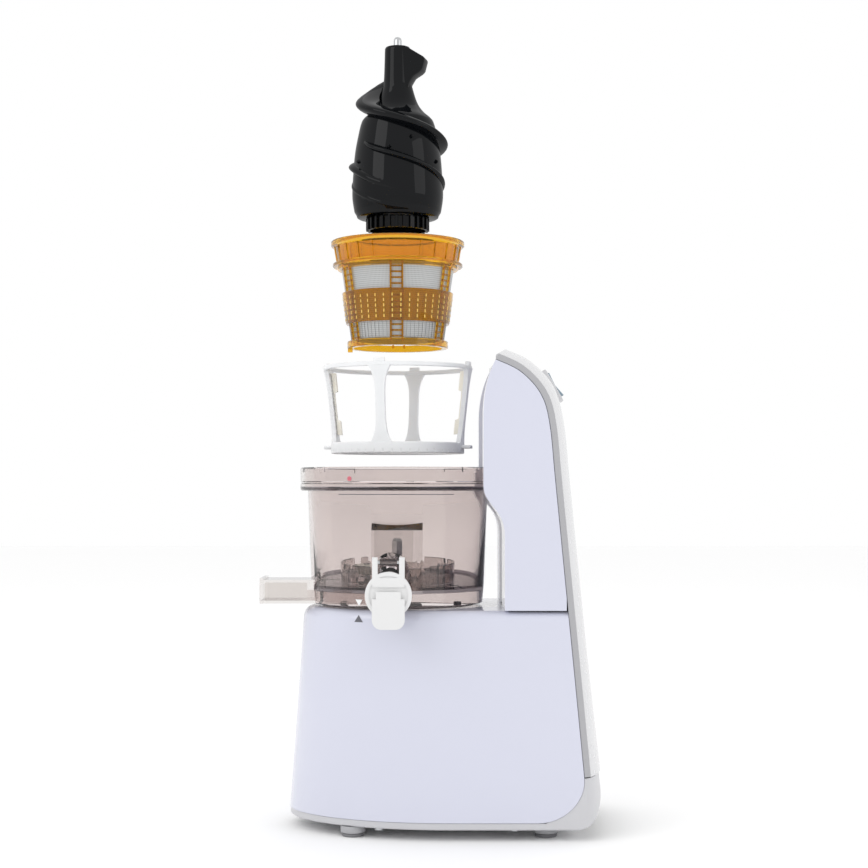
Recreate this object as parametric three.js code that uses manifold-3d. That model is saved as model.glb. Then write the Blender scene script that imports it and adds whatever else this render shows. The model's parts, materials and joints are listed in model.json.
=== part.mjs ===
// Slow juicer with a tall rear column: the loose juicing set (brush, strainer, auger) is
// raised above the open bowl. Millimetres, +Z up, origin on the floor at the middle of the
// whole object. Inside the group that is exported, x = y = 0 is the axis of the bowl.
import * as THREE from 'three';
import { mergeVertices } from 'three/addons/utils/BufferGeometryUtils.js';
import Module from 'manifold-3d';

const wasm = await Module();
wasm.setup();

// Driving dimensions
const AXIS_X = -24;            // bowl axis, from the middle of the object
const AXIS_Y = 12;
const GAP = 0.3;               // left between pieces that touch
const WALL = 2.5;              // casing wall
const HALF_WIDTH = 74;         // side panels
const FRONT_CENTRE_X = 40;     // the front of the base is half an ellipse about this point
const FRONT_REACH = 120.8;     // its long half axis at floor level
const BACK_REACH = 96.75;      // from the same point to the rear edge of the side panels
const FRONT_LEAN = 0.0724;     // mm of lean per mm of height
const BACK_LEAN = 0.0978;
const TRAY_BOTTOM = 8;
const PANEL_BOTTOM = 13.3;
const DECK_Z = 162;
const TRAY_BACK_TOP = 44.5;
const RECESS_R = 80;           // hollow front of the column, about the bowl axis

const SEAT_R = 56;             // round seat under the bowl
const SEAT_SIDES = 36;
const BOWL_BOTTOM = 163.7;
const BOWL_FLOOR = 175.6;
const BOWL_R_LOW = 64;
const BOWL_R_HIGH = 66.7;
const RIM_R = 72.2;
const RIM_LOW = 246.3;
const BOWL_TOP = 263.4;
const BOWL_WALL = 2.4;
const COLLAR_R = 42.8;
const COLLAR_TOP = 190;
const BOSS_R = 11;
const BOWL_SIDES = 32;

const SHAFT_R = 6;             // hexagonal drive shaft, across corners
const SHAFT_TOP = 210;
const MOTOR_X = 15;
const LAYSHAFT_X = 45;

const AUGER_TEETH = 26;
const IDLER_TEETH = 11;
const IDLER_MODULE = 1.751;
const IDLER_CENTRE_R = 32.4;
const IDLER_ANGLE = 2.4;       // radians round the bowl axis

const VENTS = 5;
const SCREW_SPOTS = [[-12, -56], [-12, 56], [84, -60], [84, 60]];
const INLET_Y = 36;
const INLET_Z = 28;
const GLAND_X = 150.5;
const SWITCH_AT = 0.72;        // place of the switch along the mid-line of the back

const TWO_PI = Math.PI * 2;

// Closed BufferGeometry to solid, turned the right way out
function solid(geometry) {
  const bare = geometry.clone();
  bare.deleteAttribute('normal');
  bare.deleteAttribute('uv');
  const merged = mergeVertices(bare, 1e-4);
  const position = merged.attributes.position;
  const source = merged.index.array;
  const a = new THREE.Vector3();
  const b = new THREE.Vector3();
  const c = new THREE.Vector3();
  const faces = [];
  let volume = 0;
  for (let i = 0; i < source.length; i += 3) {
    const [p, q, r] = [source[i], source[i + 1], source[i + 2]];
    if (p === q || q === r || r === p) continue;
    a.fromBufferAttribute(position, p);
    b.fromBufferAttribute(position, q);
    c.fromBufferAttribute(position, r);
    volume += a.dot(b.cross(c));
    faces.push([p, q, r]);
  }
  const triVerts = new Uint32Array(faces.length * 3);
  faces.forEach(([p, q, r], i) => triVerts.set(volume > 0 ? [p, q, r] : [p, r, q], i * 3));
  return new wasm.Manifold(new wasm.Mesh({
    numProp: 3,
    vertProperties: new Float32Array(position.array),
    triVerts,
  }));
}

function geometryOf(body) {
  const mesh = body.getMesh();
  const geometry = new THREE.BufferGeometry();
  geometry.setAttribute('position', new THREE.BufferAttribute(new Float32Array(mesh.vertProperties), 3));
  geometry.setIndex(new THREE.BufferAttribute(new Uint32Array(mesh.triVerts), 1));
  return geometry;
}

const join = (...bodies) => bodies.reduce((all, body) => all.add(body));
const cut = (body, ...tools) => tools.reduce((left, tool) => left.subtract(tool), body);

// A ring or a plug turned about the z axis from [radius, height] points
function turned(points, segments = 24, x = 0, y = 0) {
  const profile = points.map(([r, z]) => new THREE.Vector2(r, z));
  profile.push(profile[0].clone());
  return solid(new THREE.LatheGeometry(profile, segments).rotateX(Math.PI / 2).translate(x, y, 0));
}

const plug = (r, z0, z1, segments, x, y) => (
  turned([[0, z0], [r, z0], [r, z1], [0, z1]], segments, x, y));

const ring = (rIn, rOut, z0, z1, segments, x, y) => (
  turned([[rIn, z0], [rOut, z0], [rOut, z1], [rIn, z1]], segments, x, y));

function box(x0, x1, y0, y1, z0, z1) {
  const geometry = new THREE.BoxGeometry(x1 - x0, y1 - y0, z1 - z0);
  return solid(geometry.translate((x0 + x1) / 2, (y0 + y1) / 2, (z0 + z1) / 2));
}

// A shape in the floor plane, raised from z0 to z1
function raised(shape, z0, z1) {
  const geometry = new THREE.ExtrudeGeometry(shape, { depth: z1 - z0, bevelEnabled: false, curveSegments: 8 });
  return geometry.translate(0, 0, z0);
}

// A shape drawn in the side view (x, z), from y0 to y1
function across(shape, y0, y1) {
  const geometry = new THREE.ExtrudeGeometry(shape, { depth: y1 - y0, bevelEnabled: false, curveSegments: 12 });
  return solid(geometry.rotateX(Math.PI / 2).translate(0, y1, 0));
}

// A block whose own coordinates u, v, w (0 to 1) are carried to new places
function mapped(stepsU, stepsV, place) {
  const geometry = new THREE.BoxGeometry(1, 1, 1, stepsU, stepsV, 1).translate(0.5, 0.5, 0.5);
  const position = geometry.attributes.position;
  for (let i = 0; i < position.count; i += 1) {
    const [x, y, z] = place(position.getX(i), position.getY(i), position.getZ(i));
    position.setXYZ(i, x, y, z);
  }
  return solid(geometry);
}

const polygon = (points) => new THREE.Shape(points.map(([x, y]) => new THREE.Vector2(x, y)));

const polar = (r, angle) => [r * Math.cos(angle), r * Math.sin(angle)];

// Pieces are collected here; each becomes one named mesh
const juicer = new THREE.Group();
juicer.position.set(AXIS_X, AXIS_Y, 0);

function piece(name, body, finish, x = 0, y = 0, z = 0) {
  const [color, roughness, metalness] = finish;
  const mesh = new THREE.Mesh(geometryOf(body), new THREE.MeshStandardMaterial({ color, roughness, metalness }));
  mesh.name = name;
  mesh.position.set(x, y, z);
  juicer.add(mesh);
}

const LILAC = ['#e0e0ec', 0.25, 0];
const WHITE = ['#efeff0', 0.3, 0];
const GREY = ['#bdbcbf', 0.4, 0];
const RUBBER = ['#55565a', 0.85, 0];
const SMOKE = ['#d6ccca', 0.1, 0];
const AMBER = ['#dd9a02', 0.2, 0];
const STEEL = ['#b4b6b8', 0.3, 0.9];
const BLACK = ['#18191b', 0.15, 0];
const CAP_WHITE = ['#f0f0f0', 0.45, 0];
const SILICONE = ['#efe9dc', 0.6, 0];
const COPPER = ['#b4703c', 0.4, 0.8];
const NYLON = ['#d8d4c8', 0.5, 0];
const CAST = ['#8b8d90', 0.5, 0.6];
const BOARD = ['#2f6b45', 0.5, 0];

// ---- casing ----

// Rear edge of the side panels and the mid-line of the back cover, from the tray to the top
const sideEdge = new THREE.SplineCurve([
  [132.3, 45], [126.6, 104], [120.8, 163], [112.2, 251], [108, 293],
  [101.8, 314.2], [87.6, 330], [70.2, 338.5],
].map(([x, z]) => new THREE.Vector2(x, z)));
const spine = new THREE.SplineCurve([
  [148.7, 45], [141.9, 104], [135.4, 163], [126.6, 251], [122.2, 295],
  [114.6, 322.5], [97.5, 341], [80, 349.5],
].map(([x, z]) => new THREE.Vector2(x, z)));
const EDGE_STEPS = 18;

function outward(curve, t, distance) {
  const point = curve.getPoint(t);
  const tangent = curve.getTangent(t);
  return new THREE.Vector2(point.x + tangent.y * distance, point.y - tangent.x * distance);
}

function edgePoints(distance) {
  const points = [];
  for (let i = 0; i <= EDGE_STEPS; i += 1) points.push(outward(sideEdge, i / EDGE_STEPS, distance));
  return points;
}

// Plan of the casing: an elliptical front, straight sides and, if closed, a crowned back
function planShape(inset, crowned) {
  const half = HALF_WIDTH - inset;
  const back = FRONT_CENTRE_X + BACK_REACH;
  const end = crowned ? back : 220;
  const crown = back + 16.5 - inset;
  const shape = new THREE.Shape();
  shape.absellipse(FRONT_CENTRE_X, 0, FRONT_REACH - inset, half, Math.PI / 2, Math.PI * 1.5, false, 0);
  shape.lineTo(end, -half);
  if (crowned) {
    shape.bezierCurveTo(back + 9, -half + 3, crown, -half + 30, crown, 0);
    shape.bezierCurveTo(crown, half - 30, back + 9, half - 3, back, half);
  } else {
    shape.lineTo(end, half);
  }
  shape.closePath();
  return shape;
}

// Front and back close in as the casing rises
function leaned(geometry) {
  const position = geometry.attributes.position;
  for (let i = 0; i < position.count; i += 1) {
    const x = position.getX(i) - FRONT_CENTRE_X;
    const reach = x < 0 ? FRONT_REACH : BACK_REACH;
    const lean = x < 0 ? FRONT_LEAN : BACK_LEAN;
    position.setX(i, FRONT_CENTRE_X + x * (1 - (lean * position.getZ(i)) / reach));
  }
  return solid(geometry);
}

// Side view of the base panel, with its large rear bottom corner
function basePanelShape(distance) {
  const shape = new THREE.Shape();
  shape.moveTo(-200, PANEL_BOTTOM - distance);
  shape.lineTo(100, PANEL_BOTTOM - distance);
  const corner = outward(sideEdge, 0, distance);
  shape.bezierCurveTo(119, PANEL_BOTTOM - distance, corner.x + 1.6, corner.y - 16, corner.x, corner.y);
  const edge = edgePoints(distance).filter((point) => point.y < DECK_Z);
  edge.forEach((point) => shape.lineTo(point.x, point.y));
  shape.lineTo(edge[edge.length - 1].x, 400);
  shape.lineTo(-200, 400);
  shape.closePath();
  return shape;
}

function frontShell() {
  const shoulder = 8;
  const outer = new THREE.ExtrudeGeometry(planShape(shoulder, false), {
    depth: DECK_Z - shoulder,
    bevelThickness: shoulder,
    bevelSize: shoulder,
    bevelSegments: 3,
    curveSegments: 8,
  });
  const inner = raised(planShape(WALL, false), -20, DECK_Z - WALL);
  const body = cut(leaned(outer), leaned(inner), plug(SEAT_R + GAP, 100, 200, SEAT_SIDES),
    box(84, 106, -20, 20, 140, 180));
  const panel = across(basePanelShape(0), -100, 100);
  return cut(body.intersect(panel), box(-300, 300, -200, 200, -30, PANEL_BOTTOM));
}

// Bottom pan: floor with vents, the grey rim under the panel and the rear lower corner
function baseTray() {
  const outer = leaned(raised(planShape(0.6, true), TRAY_BOTTOM, TRAY_BACK_TOP));
  const inner = leaned(raised(planShape(0.6 + WALL, true), TRAY_BOTTOM + WALL, 80));
  const round = new THREE.Shape();
  round.moveTo(-200, TRAY_BOTTOM);
  round.lineTo(124, TRAY_BOTTOM);
  round.bezierCurveTo(142, TRAY_BOTTOM, 149, 24, 149.2, TRAY_BACK_TOP + 1);
  round.lineTo(-200, TRAY_BACK_TOP + 1);
  const pan = cut(outer, inner).intersect(across(round, -100, 100));
  let tray = cut(pan, across(basePanelShape(GAP), -100, 100).subtract(box(-90, 200, -69, 69, 20, 500)));
  tray = cut(tray, box(-300, 106, -100, 100, PANEL_BOTTOM - GAP, 60));
  for (let i = 0; i < VENTS; i += 1) tray = cut(tray, box(-18 + i * 9, -14 + i * 9, -24, 24, 0, 20));
  SCREW_SPOTS.forEach(([x, y]) => {
    tray = cut(tray, plug(2.2, 0, 20, 12, x, y));
  });
  const inlet = new THREE.CylinderGeometry(6, 6, 40, 24).rotateZ(Math.PI / 2).translate(148, INLET_Y, INLET_Z);
  return cut(tray, solid(inlet));
}

// The column's front and sides, hollow behind and open below
function columnShape(inset) {
  const shape = new THREE.Shape();
  const low = 76.7 + inset;
  const high = 61.7 + inset;
  shape.moveTo(low, DECK_Z + GAP - inset * 4);
  shape.lineTo(low, 215);
  shape.bezierCurveTo(low, 234, high, 236, high, 250 + inset);
  shape.lineTo(high, 300);
  shape.quadraticCurveTo(high, 322, 70.2 + inset, 338.5 - inset);
  const edge = edgePoints(inset > 0 ? 30 : 0).reverse().filter((point) => point.y > DECK_Z + GAP);
  const rear = inset > 0 ? edge.filter((point) => point.y < 338.5 - inset) : edge;
  rear.forEach((point) => shape.lineTo(point.x, point.y));
  shape.lineTo(rear[rear.length - 1].x, DECK_Z + GAP - inset * 4);
  shape.closePath();
  return shape;
}

function columnShell() {
  const outer = across(columnShape(0), -HALF_WIDTH, HALF_WIDTH).subtract(plug(RECESS_R, 100, 400, 56));
  const half = HALF_WIDTH - WALL;
  const inner = across(columnShape(WALL), -half, half).subtract(plug(RECESS_R + WALL, 100, 400, 56));
  return cut(outer, inner);
}

// The cover's upper end turns down to the column's hollow front
function coverBrow(edge) {
  const top = spine.getPoint(1);
  const corner = outward(sideEdge, 1, 5);
  const front = sideEdge.getPoint(1);
  return mapped(24, 1, (u, v, w) => {
    const y = (u * 2 - 1) * (edge - 0.4);
    const t = Math.abs(y / edge) ** 3;
    const lowX = Math.max(front.x + GAP, Math.sqrt((RECESS_R + GAP) ** 2 - y ** 2));
    const lowZ = front.y + 0.8 - (lowX - front.x) * 0.36;
    const highX = THREE.MathUtils.lerp(top.x, corner.x, t);
    const highZ = THREE.MathUtils.lerp(top.y, corner.y, t) - 0.9;
    return [THREE.MathUtils.lerp(highX, lowX, v) + w * 2, y, THREE.MathUtils.lerp(highZ, lowZ, v)];
  });
}

// Cover between the two trim bands, crowned from side to side
function backCover() {
  const edge = 71.2;
  const cover = mapped(18, 8, (u, v, w) => {
    const y = Math.sin((v - 0.5) * Math.PI) * edge;
    const t = Math.abs(y / edge) ** 3;
    const depth = (1 - w) * WALL;
    const middle = outward(spine, u, -depth);
    const side = outward(sideEdge, u, 5 - depth);
    return [THREE.MathUtils.lerp(middle.x, side.x, t), y, THREE.MathUtils.lerp(middle.y, side.y, t)];
  });
  return cut(join(cover, coverBrow(edge)), onBack(SWITCH_AT, block(27.6, 24.6, -15, 15)));
}

function trimBand(side) {
  return mapped(20, 1, (u, v, w) => {
    const point = outward(sideEdge, 0.012 + u * 0.988, GAP + v * 4.4);
    return [point.x, side * (73.4 - w * 1.8), point.y];
  });
}

const FOOT_SPOTS = [
  ['front_left', -31, -50], ['front_right', -31, 50], ['rear_left', 107, -52], ['rear_right', 107, 52],
];
const FOOT_TOP = TRAY_BOTTOM - GAP;

const foot = () => turned([[0, 2.6], [8.4, 2.6], [8.8, 4], [8.8, FOOT_TOP], [0, FOOT_TOP]], 20);
const footPad = () => turned([[0, 0], [7.2, 0], [7.8, 0.8], [7.8, 2.3], [0, 2.3]], 20);

// Round plate that the bowl stands on, with three lugs for its bayonet
function bowlSeat() {
  let seat = join(plug(SEAT_R, 157, DECK_Z, SEAT_SIDES), ring(13, 18, 156, DECK_Z + 3, 20));
  for (let i = 0; i < 3; i += 1) {
    const [x, y] = polar(50, 0.45 + (i * TWO_PI) / 3);
    seat = join(seat, plug(3, 158, DECK_Z + 4, 8, x, y));
  }
  return cut(seat, plug(13, 100, 200, 20));
}

function gearboxOutline(inset) {
  const shape = new THREE.Shape();
  shape.absarc(0, 0, 43 - inset, Math.PI / 2, Math.PI * 1.5, false);
  shape.lineTo(46, -43 + inset);
  shape.absarc(46, 0, 33 - inset, -Math.PI / 2, Math.PI / 2, false);
  shape.lineTo(0, 43 - inset);
  return shape;
}

function gearboxHousing() {
  const outer = solid(raised(gearboxOutline(0), 98, 137));
  const inner = solid(raised(gearboxOutline(3), 101, 150));
  const hubs = join(ring(4.8, 7.4, 100, 104, 20), ring(4.4, 8, 100, 104, 16, LAYSHAFT_X, 0));
  return cut(join(cut(outer, inner), hubs), plug(4.8, 90, 120, 20), plug(3.3, 90, 110, 16, LAYSHAFT_X, 0),
    plug(6, 90, 120, 18, MOTOR_X, 0));
}

function gearboxCover() {
  const plate = solid(raised(gearboxOutline(0), 137.3, 140.3));
  const boss = ring(14.3, 18, 140, 149, 24);
  return cut(join(plate, boss), plug(14.3, 120, 160, 24), plug(3.3, 120, 160, 16, LAYSHAFT_X, 0));
}

// ---- gears ----

// Spur gear outline with involute flanks; thin leaves the backlash
function gearShape(teeth, module, thin = 0.09, tip = 1, root = 1.25) {
  const pitchR = (teeth * module) / 2;
  const baseR = pitchR * Math.cos(Math.PI / 9);
  const rootR = pitchR - root * module;
  const tipR = pitchR + tip * module;
  const rollTo = (r) => Math.sqrt(Math.max((r / baseR) ** 2 - 1, 0));
  const involute = (r) => rollTo(Math.max(r, baseR)) - Math.atan(rollTo(Math.max(r, baseR)));
  const halfPitch = (Math.PI / 2 - thin * Math.PI) / teeth + involute(pitchR);
  const radii = [rootR, tipR];
  const shape = [];
  for (let i = 0; i < teeth; i += 1) {
    const middle = (i * TWO_PI) / teeth;
    radii.forEach((r) => shape.push(polar(r, middle - halfPitch + involute(r))));
    [...radii].reverse().forEach((r) => shape.push(polar(r, middle + halfPitch - involute(r))));
  }
  return polygon(shape);
}

// turn is the angle of the first tooth
function gear(teeth, module, z0, z1, x = 0, turn = 0) {
  return solid(raised(gearShape(teeth, module), z0, z1).rotateZ(turn).translate(x, 0, 0));
}

function outputGear() {
  return cut(join(gear(50, 1.5, 119, 131), ring(5, 12, 118, 135, 24)), plug(8, 100, 160, 24));
}

function layshaftGear() {
  const large = gear(40, 1.2, 105, 113, LAYSHAFT_X, 0);
  const small = gear(10, 1.5, 112, 133, LAYSHAFT_X, Math.PI / 10);
  return cut(join(large, small), plug(3.3, 90, 150, 16, LAYSHAFT_X, 0));
}

function motorShaft() {
  const shaft = plug(3.2, 22, 104, 18, MOTOR_X, 0);
  return join(shaft, gear(10, 1.2, 103.5, 115, MOTOR_X, Math.PI / 10));
}

function driveShaft() {
  const hex = turned([[0, 136], [SHAFT_R, 136], [SHAFT_R, SHAFT_TOP - 2], [SHAFT_R - 2, SHAFT_TOP], [0, SHAFT_TOP]], 6);
  return join(hex, plug(7.7, 117, 162, 24), plug(4.5, 98.5, 118, 20));
}

// ---- motor ----

function motorStator() {
  const slots = 8;
  let body = ring(22.4, 40, 36, 78, 24);
  for (let i = 0; i < slots; i += 1) {
    const [x, y] = polar(26.5, (i * TWO_PI) / slots);
    body = cut(body, plug(3, 0, 200, 8, x, y));
  }
  return body;
}

function motorEndCap() {
  const dish = turned([[8.3, 22], [41.8, 22], [41.8, 36.5], [41, 36.5], [41, 35.7], [38, 35.7], [38, 25], [12, 25],
    [12, 30], [8.3, 30]], 24, MOTOR_X, 0);
  let cap = dish;
  for (let i = 0; i < 4; i += 1) {
    const [x, y] = polar(44, Math.PI / 4 + (i * Math.PI) / 2);
    cap = join(cap, plug(5, 22, 30, 8, MOTOR_X + x, y));
    cap = cut(cap, plug(2, 0, 50, 6, MOTOR_X + x, y));
  }
  return cap;
}

function coolingFan() {
  let fan = join(ring(3.5, 9, 84, 93, 16, MOTOR_X, 0), ring(8.5, 27, 91.5, 93, 18, MOTOR_X, 0));
  const blade = new THREE.BoxGeometry(19, 1.4, 8).translate(17.5, 0, 88);
  for (let i = 0; i < 9; i += 1) {
    const turnedBlade = blade.clone().rotateZ((i * TWO_PI) / 9).translate(MOTOR_X, 0, 0);
    fan = join(fan, solid(turnedBlade));
  }
  return fan;
}

// ---- bowl ----

const OUTLET_ROOT = new THREE.Vector3(-3, -58, 191.5);
const OUTLET_END = new THREE.Vector3(-4.6, -100, 170.3);
const OUTLET_R = 14.4;
const OUTLET_BORE = 12.2;
const MOUTH_Y = -92;           // the sloping nozzle is cut off square here
const MOUTH_X = -4.4;
const MOUTH_Z = 174.4;
const HINGE_Y = -93.5;
const HINGE_Z = 197;

// Round bar from one point to another
function bar(from, to, r, segments = 24, spare = 0) {
  const line = new THREE.Vector3().subVectors(to, from);
  const geometry = new THREE.CylinderGeometry(r, r, line.length() + spare * 2, segments);
  const turn = new THREE.Quaternion().setFromUnitVectors(new THREE.Vector3(0, 1, 0), line.clone().normalize());
  geometry.applyQuaternion(turn);
  const middle = from.clone().add(to).multiplyScalar(0.5);
  return solid(geometry.translate(middle.x, middle.y, middle.z));
}

// Bar along x through the cap's hinge line
function hingeBar(r, length, segments) {
  const geometry = new THREE.CylinderGeometry(r, r, length, segments).rotateZ(Math.PI / 2);
  return solid(geometry.translate(MOUTH_X, HINGE_Y, HINGE_Z));
}

const hingeEar = () => cut(join(box(MOUTH_X - 6, MOUTH_X + 6, MOUTH_Y, -84, 188.5, HINGE_Z + 2.4),
  box(MOUTH_X - 6, MOUTH_X + 6, HINGE_Y, MOUTH_Y + 1, 191.2, HINGE_Z + 2.4), hingeBar(2.6, 12, 16)),
hingeBar(1.7, 60, 12));

function bowlShell() {
  const outer = turned([[0, BOWL_BOTTOM], [BOWL_R_LOW - 1, BOWL_BOTTOM], [BOWL_R_LOW, BOWL_FLOOR], [BOWL_R_HIGH, RIM_LOW],
    [RIM_R, RIM_LOW + 1], [RIM_R, BOWL_TOP], [0, BOWL_TOP]], BOWL_SIDES);
  const inside = turned([[0, BOWL_FLOOR], [BOWL_R_LOW - BOWL_WALL, BOWL_FLOOR], [BOWL_R_HIGH - BOWL_WALL, RIM_LOW],
    [RIM_R - BOWL_WALL, RIM_LOW + 3], [RIM_R - BOWL_WALL, 300], [0, 300]], BOWL_SIDES);
  const underside = plug(BOWL_R_LOW - BOWL_WALL - 1, 100, BOWL_FLOOR - 2, BOWL_SIDES);
  const collar = ring(COLLAR_R - 1.8, COLLAR_R, BOWL_FLOOR - 1, COLLAR_TOP, BOWL_SIDES);
  const boss = turned([[8, BOWL_BOTTOM + 4.5], [BOSS_R, BOWL_BOTTOM + 4.5], [BOSS_R, 186], [8, 186]], 20);
  const ledges = [-90, 30, 215].map((degrees) => {
    const ledge = new THREE.BoxGeometry(5.5, 5, 10.7).translate(38.75, 0, 180.35);
    return solid(ledge.rotateZ(THREE.MathUtils.degToRad(degrees)));
  });
  const spout = box(-100.7, -58, -19, 19, BOWL_BOTTOM, 181);
  const duct = box(-60, -22, -19, 19, BOWL_BOTTOM + 0.6, BOWL_FLOOR - 1);
  const flange = box(-100.7, -98, -20.5, 20.5, BOWL_BOTTOM - 0.1, 182.2);
  const spoutBore = join(box(-110, -66, -17, 17, BOWL_BOTTOM + 2, 179), box(-70, -24, -17, 17, BOWL_BOTTOM + 2, BOWL_FLOOR - 2));
  const pulpHole = box(-37, -25, -12, 12, 160, 180);
  const housing = across(polygon([[-72, BOWL_FLOOR - 1.9], [-72, 218.7], [-60, 225.7], [-60, BOWL_FLOOR - 1.9]]), -18, 18);
  const turnedHousing = solid(geometryOf(housing).rotateZ(Math.PI / 2).translate(1, 0, 0));
  const shell = join(cut(outer, inside, underside), collar, boss, duct, spout, flange, ...ledges,
    turnedHousing, cut(bar(OUTLET_ROOT, OUTLET_END, OUTLET_R), box(-40, 40, -140, MOUTH_Y, 100, 250)), hingeEar());
  const [idlerX, idlerY] = polar(IDLER_CENTRE_R, IDLER_ANGLE);
  const wellInside = turned([[COLLAR_R + 1, BOWL_FLOOR], [BOWL_R_LOW - BOWL_WALL, BOWL_FLOOR],
    [BOWL_R_HIGH - BOWL_WALL, RIM_LOW], [COLLAR_R + 1, RIM_LOW]], BOWL_SIDES);
  return cut(shell, spoutBore, pulpHole, wellInside, bar(OUTLET_ROOT, OUTLET_END, OUTLET_BORE, 24, 6),
    plug(8, 100, 250, 20), plug(10.8, 176, 200, 24, idlerX, idlerY));
}

// ---- juice cap ----

// A disc facing the outlet, between two distances along y
function mouthDisc(r, y0, y1, segments) {
  const geometry = new THREE.CylinderGeometry(r, r, y1 - y0, segments);
  return solid(geometry.translate(MOUTH_X, (y0 + y1) / 2, MOUTH_Z));
}

function capLever() {
  const face = MOUTH_Y - GAP;
  const disc = mouthDisc(16.2, face - 4.2, face, 28);
  const tab = box(MOUTH_X - 11.3, MOUTH_X + 11.3, face - 6.6, face - 3, 151, 172);
  const arms = [-1, 1].map((side) => {
    const x = MOUTH_X + side * 9.3;
    return box(x - 1.9, x + 1.9, face - 4.2, face, 180, 200.6);
  });
  return cut(join(disc, tab, ...arms), hingeBar(1.7, 60, 12));
}

const capHingePin = () => hingeBar(1.4, 22.6, 12);

const capSeal = () => mouthDisc(10.8, MOUTH_Y, MOUTH_Y + 2.6, 24);

// ---- auger ----

const AUGER_BOTTOM = 448.9;
const AUGER_PROFILE = [
  [27.5, 448.9], [27.5, 450.6], [32.2, 453.4], [33.8, 465], [33.1, 481.4], [31.7, 497.2], [29.3, 510.2],
  [27.2, 518.9], [25, 522.7], [19.5, 527.6], [15.2, 533.6], [11.9, 542.9], [10.3, 551.6], [9.5, 575.8],
];

function radiusAt(profile, z) {
  const next = profile.findIndex((point) => point[1] >= z);
  if (next < 0) return profile[profile.length - 1][0];
  if (next === 0) return profile[0][0];
  const [r0, z0] = profile[next - 1];
  const [r1, z1] = profile[next];
  return r0 + ((r1 - r0) * (z - z0)) / (z1 - z0);
}

// A spiral ridge from [degrees, height, radius] knots; it tapers away at both ends
function flight(knots, thickness, steps) {
  const route = new THREE.CatmullRomCurve3(knots.map(([a, z, r]) => new THREE.Vector3(a, z, r)));
  return mapped(steps, 1, (u, v, w) => {
    const at = route.getPoint(u);
    const angle = THREE.MathUtils.degToRad(at.x);
    const inner = radiusAt(AUGER_PROFILE, at.y) - 2.5;
    const [x, y] = polar(w ? Math.max(at.z, inner + 0.5) : inner, angle);
    return [x, y, at.y + (v - 0.5) * thickness * (w ? 0.6 : 1)];
  });
}

function augerBody() {
  const core = turned([[0, AUGER_BOTTOM], ...AUGER_PROFILE, [0, 575.8]], 26);
  const flights = [
    flight([[100, 549, 9], [150, 545, 20], [180, 534, 31], [225, 526, 33], [270, 518, 34.5], [315, 511, 36],
      [360, 503.7, 37.4], [450, 494, 36.5], [540, 487, 36.5], [610, 470, 34.6], [700, 453, 32.5]], 6.5, 26),
    flight([[215, 503, 30], [240, 496, 35], [300, 485, 36], [360, 474, 35.3], [430, 461, 33.4]], 4, 12),
    flight([[178, 475, 34], [200, 468, 34.4], [250, 456, 33], [285, 451.5, 32.4]], 4, 7),
  ];
  const wing = mapped(5, 1, (u, v, w) => {
    const angle = THREE.MathUtils.degToRad(-35 + u * 70);
    const [x, y] = polar(w ? 14.5 + 7.2 * Math.sin(u * Math.PI * 0.5) : 8, angle);
    return [x, y, 575.4 - u * 12 - (1 - v) * 9];
  });
  const studs = [-150, -100, -70, -30, 60].map((degrees, i) => {
    const z = 488 + (i % 3) * 8;
    const [x, y] = polar(radiusAt(AUGER_PROFILE, z), THREE.MathUtils.degToRad(degrees));
    return solid(new THREE.OctahedronGeometry(2.4).translate(x, y, z));
  });
  const pegs = solid(raised(gearShape(AUGER_TEETH, IDLER_MODULE, 0.12, 0.47, 0.6), 439.5, AUGER_BOTTOM + 1)
    .rotateZ(IDLER_ANGLE + Math.PI / AUGER_TEETH));
  const body = join(core, ...flights, wing, ...studs, pegs);
  const hollow = turned([[0, 400], [20.8, 400], [20.8, 449], [18, 452], [8.4, 456], [8.4, 478], [0, 478]], AUGER_TEETH);
  return cut(body, hollow, plug(3.3, 560, 600, 16));
}

const augerPin = () => turned([[0, 560.4], [3, 560.4], [3, 582], [2.2, 583.8], [0, 583.8]], 16);

function augerSocket() {
  const sleeve = turned([[SHAFT_R + 0.5, 452], [SHAFT_R + 0.5, 474], [8, 474], [8, 452]], 6);
  return sleeve;
}

// ---- strainer ----

const STRAINER_SIDES = 30;

function strainerFrame() {
  const wall = 1.6;
  const upper = turned([[49.5, 431], [49.5, 427.5], [46.8, 426.5], [44.9, 415.4], [48.2, 414.6], [48.2, 412.2],
    [44.5, 412], [44.5, 410], [40.4, 410], [44.4 - wall, 414], [44.6, 431]], STRAINER_SIDES);
  const middle = turned([[41.3, 392.8], [38.4, 369.6], [38.4 - wall - 0.4, 369.6], [41.3 - wall - 0.4, 392.8]], STRAINER_SIDES);
  const lower = turned([[34.6, 357], [37.4, 357], [37.4, 352], [33, 352], [33, 357]], STRAINER_SIDES);
  let frame = join(upper, middle, lower);
  const ribs = 6;
  for (let i = 0; i < ribs; i += 1) {
    const angle = -Math.PI / 2 + (i * TWO_PI) / ribs;
    const rib = mapped(1, 1, (u, v, w) => {
      const z = 355 + u * 58;
      const r = 35 + u * 7.4 + w * 1.5;
      const [x, y] = polar(r, angle + ((v - 0.5) * 2.6) / 40);
      return [x, y, z];
    });
    frame = join(frame, rib);
  }
  return join(frame, box(-37, -33.5, -2, 2, 349.2, 354));
}

// Fine steel sleeve inside the frame
const strainerMesh = () => turned([
  [34.55, 358], [41.9, 409.6], [41.2, 409.6], [33.85, 358],
].map(([r, z]) => [r - 0.45, z]), STRAINER_SIDES);

// ---- spinning brush ----

const BRUSH_TOP = 339;
const BRUSH_LOW = 273.8;
const BRUSH_TURN = -13;        // degrees, of the first post from the x axis
const POST_ANGLES = [0, 90, 180, 270].map((degrees) => degrees + BRUSH_TURN);

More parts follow.
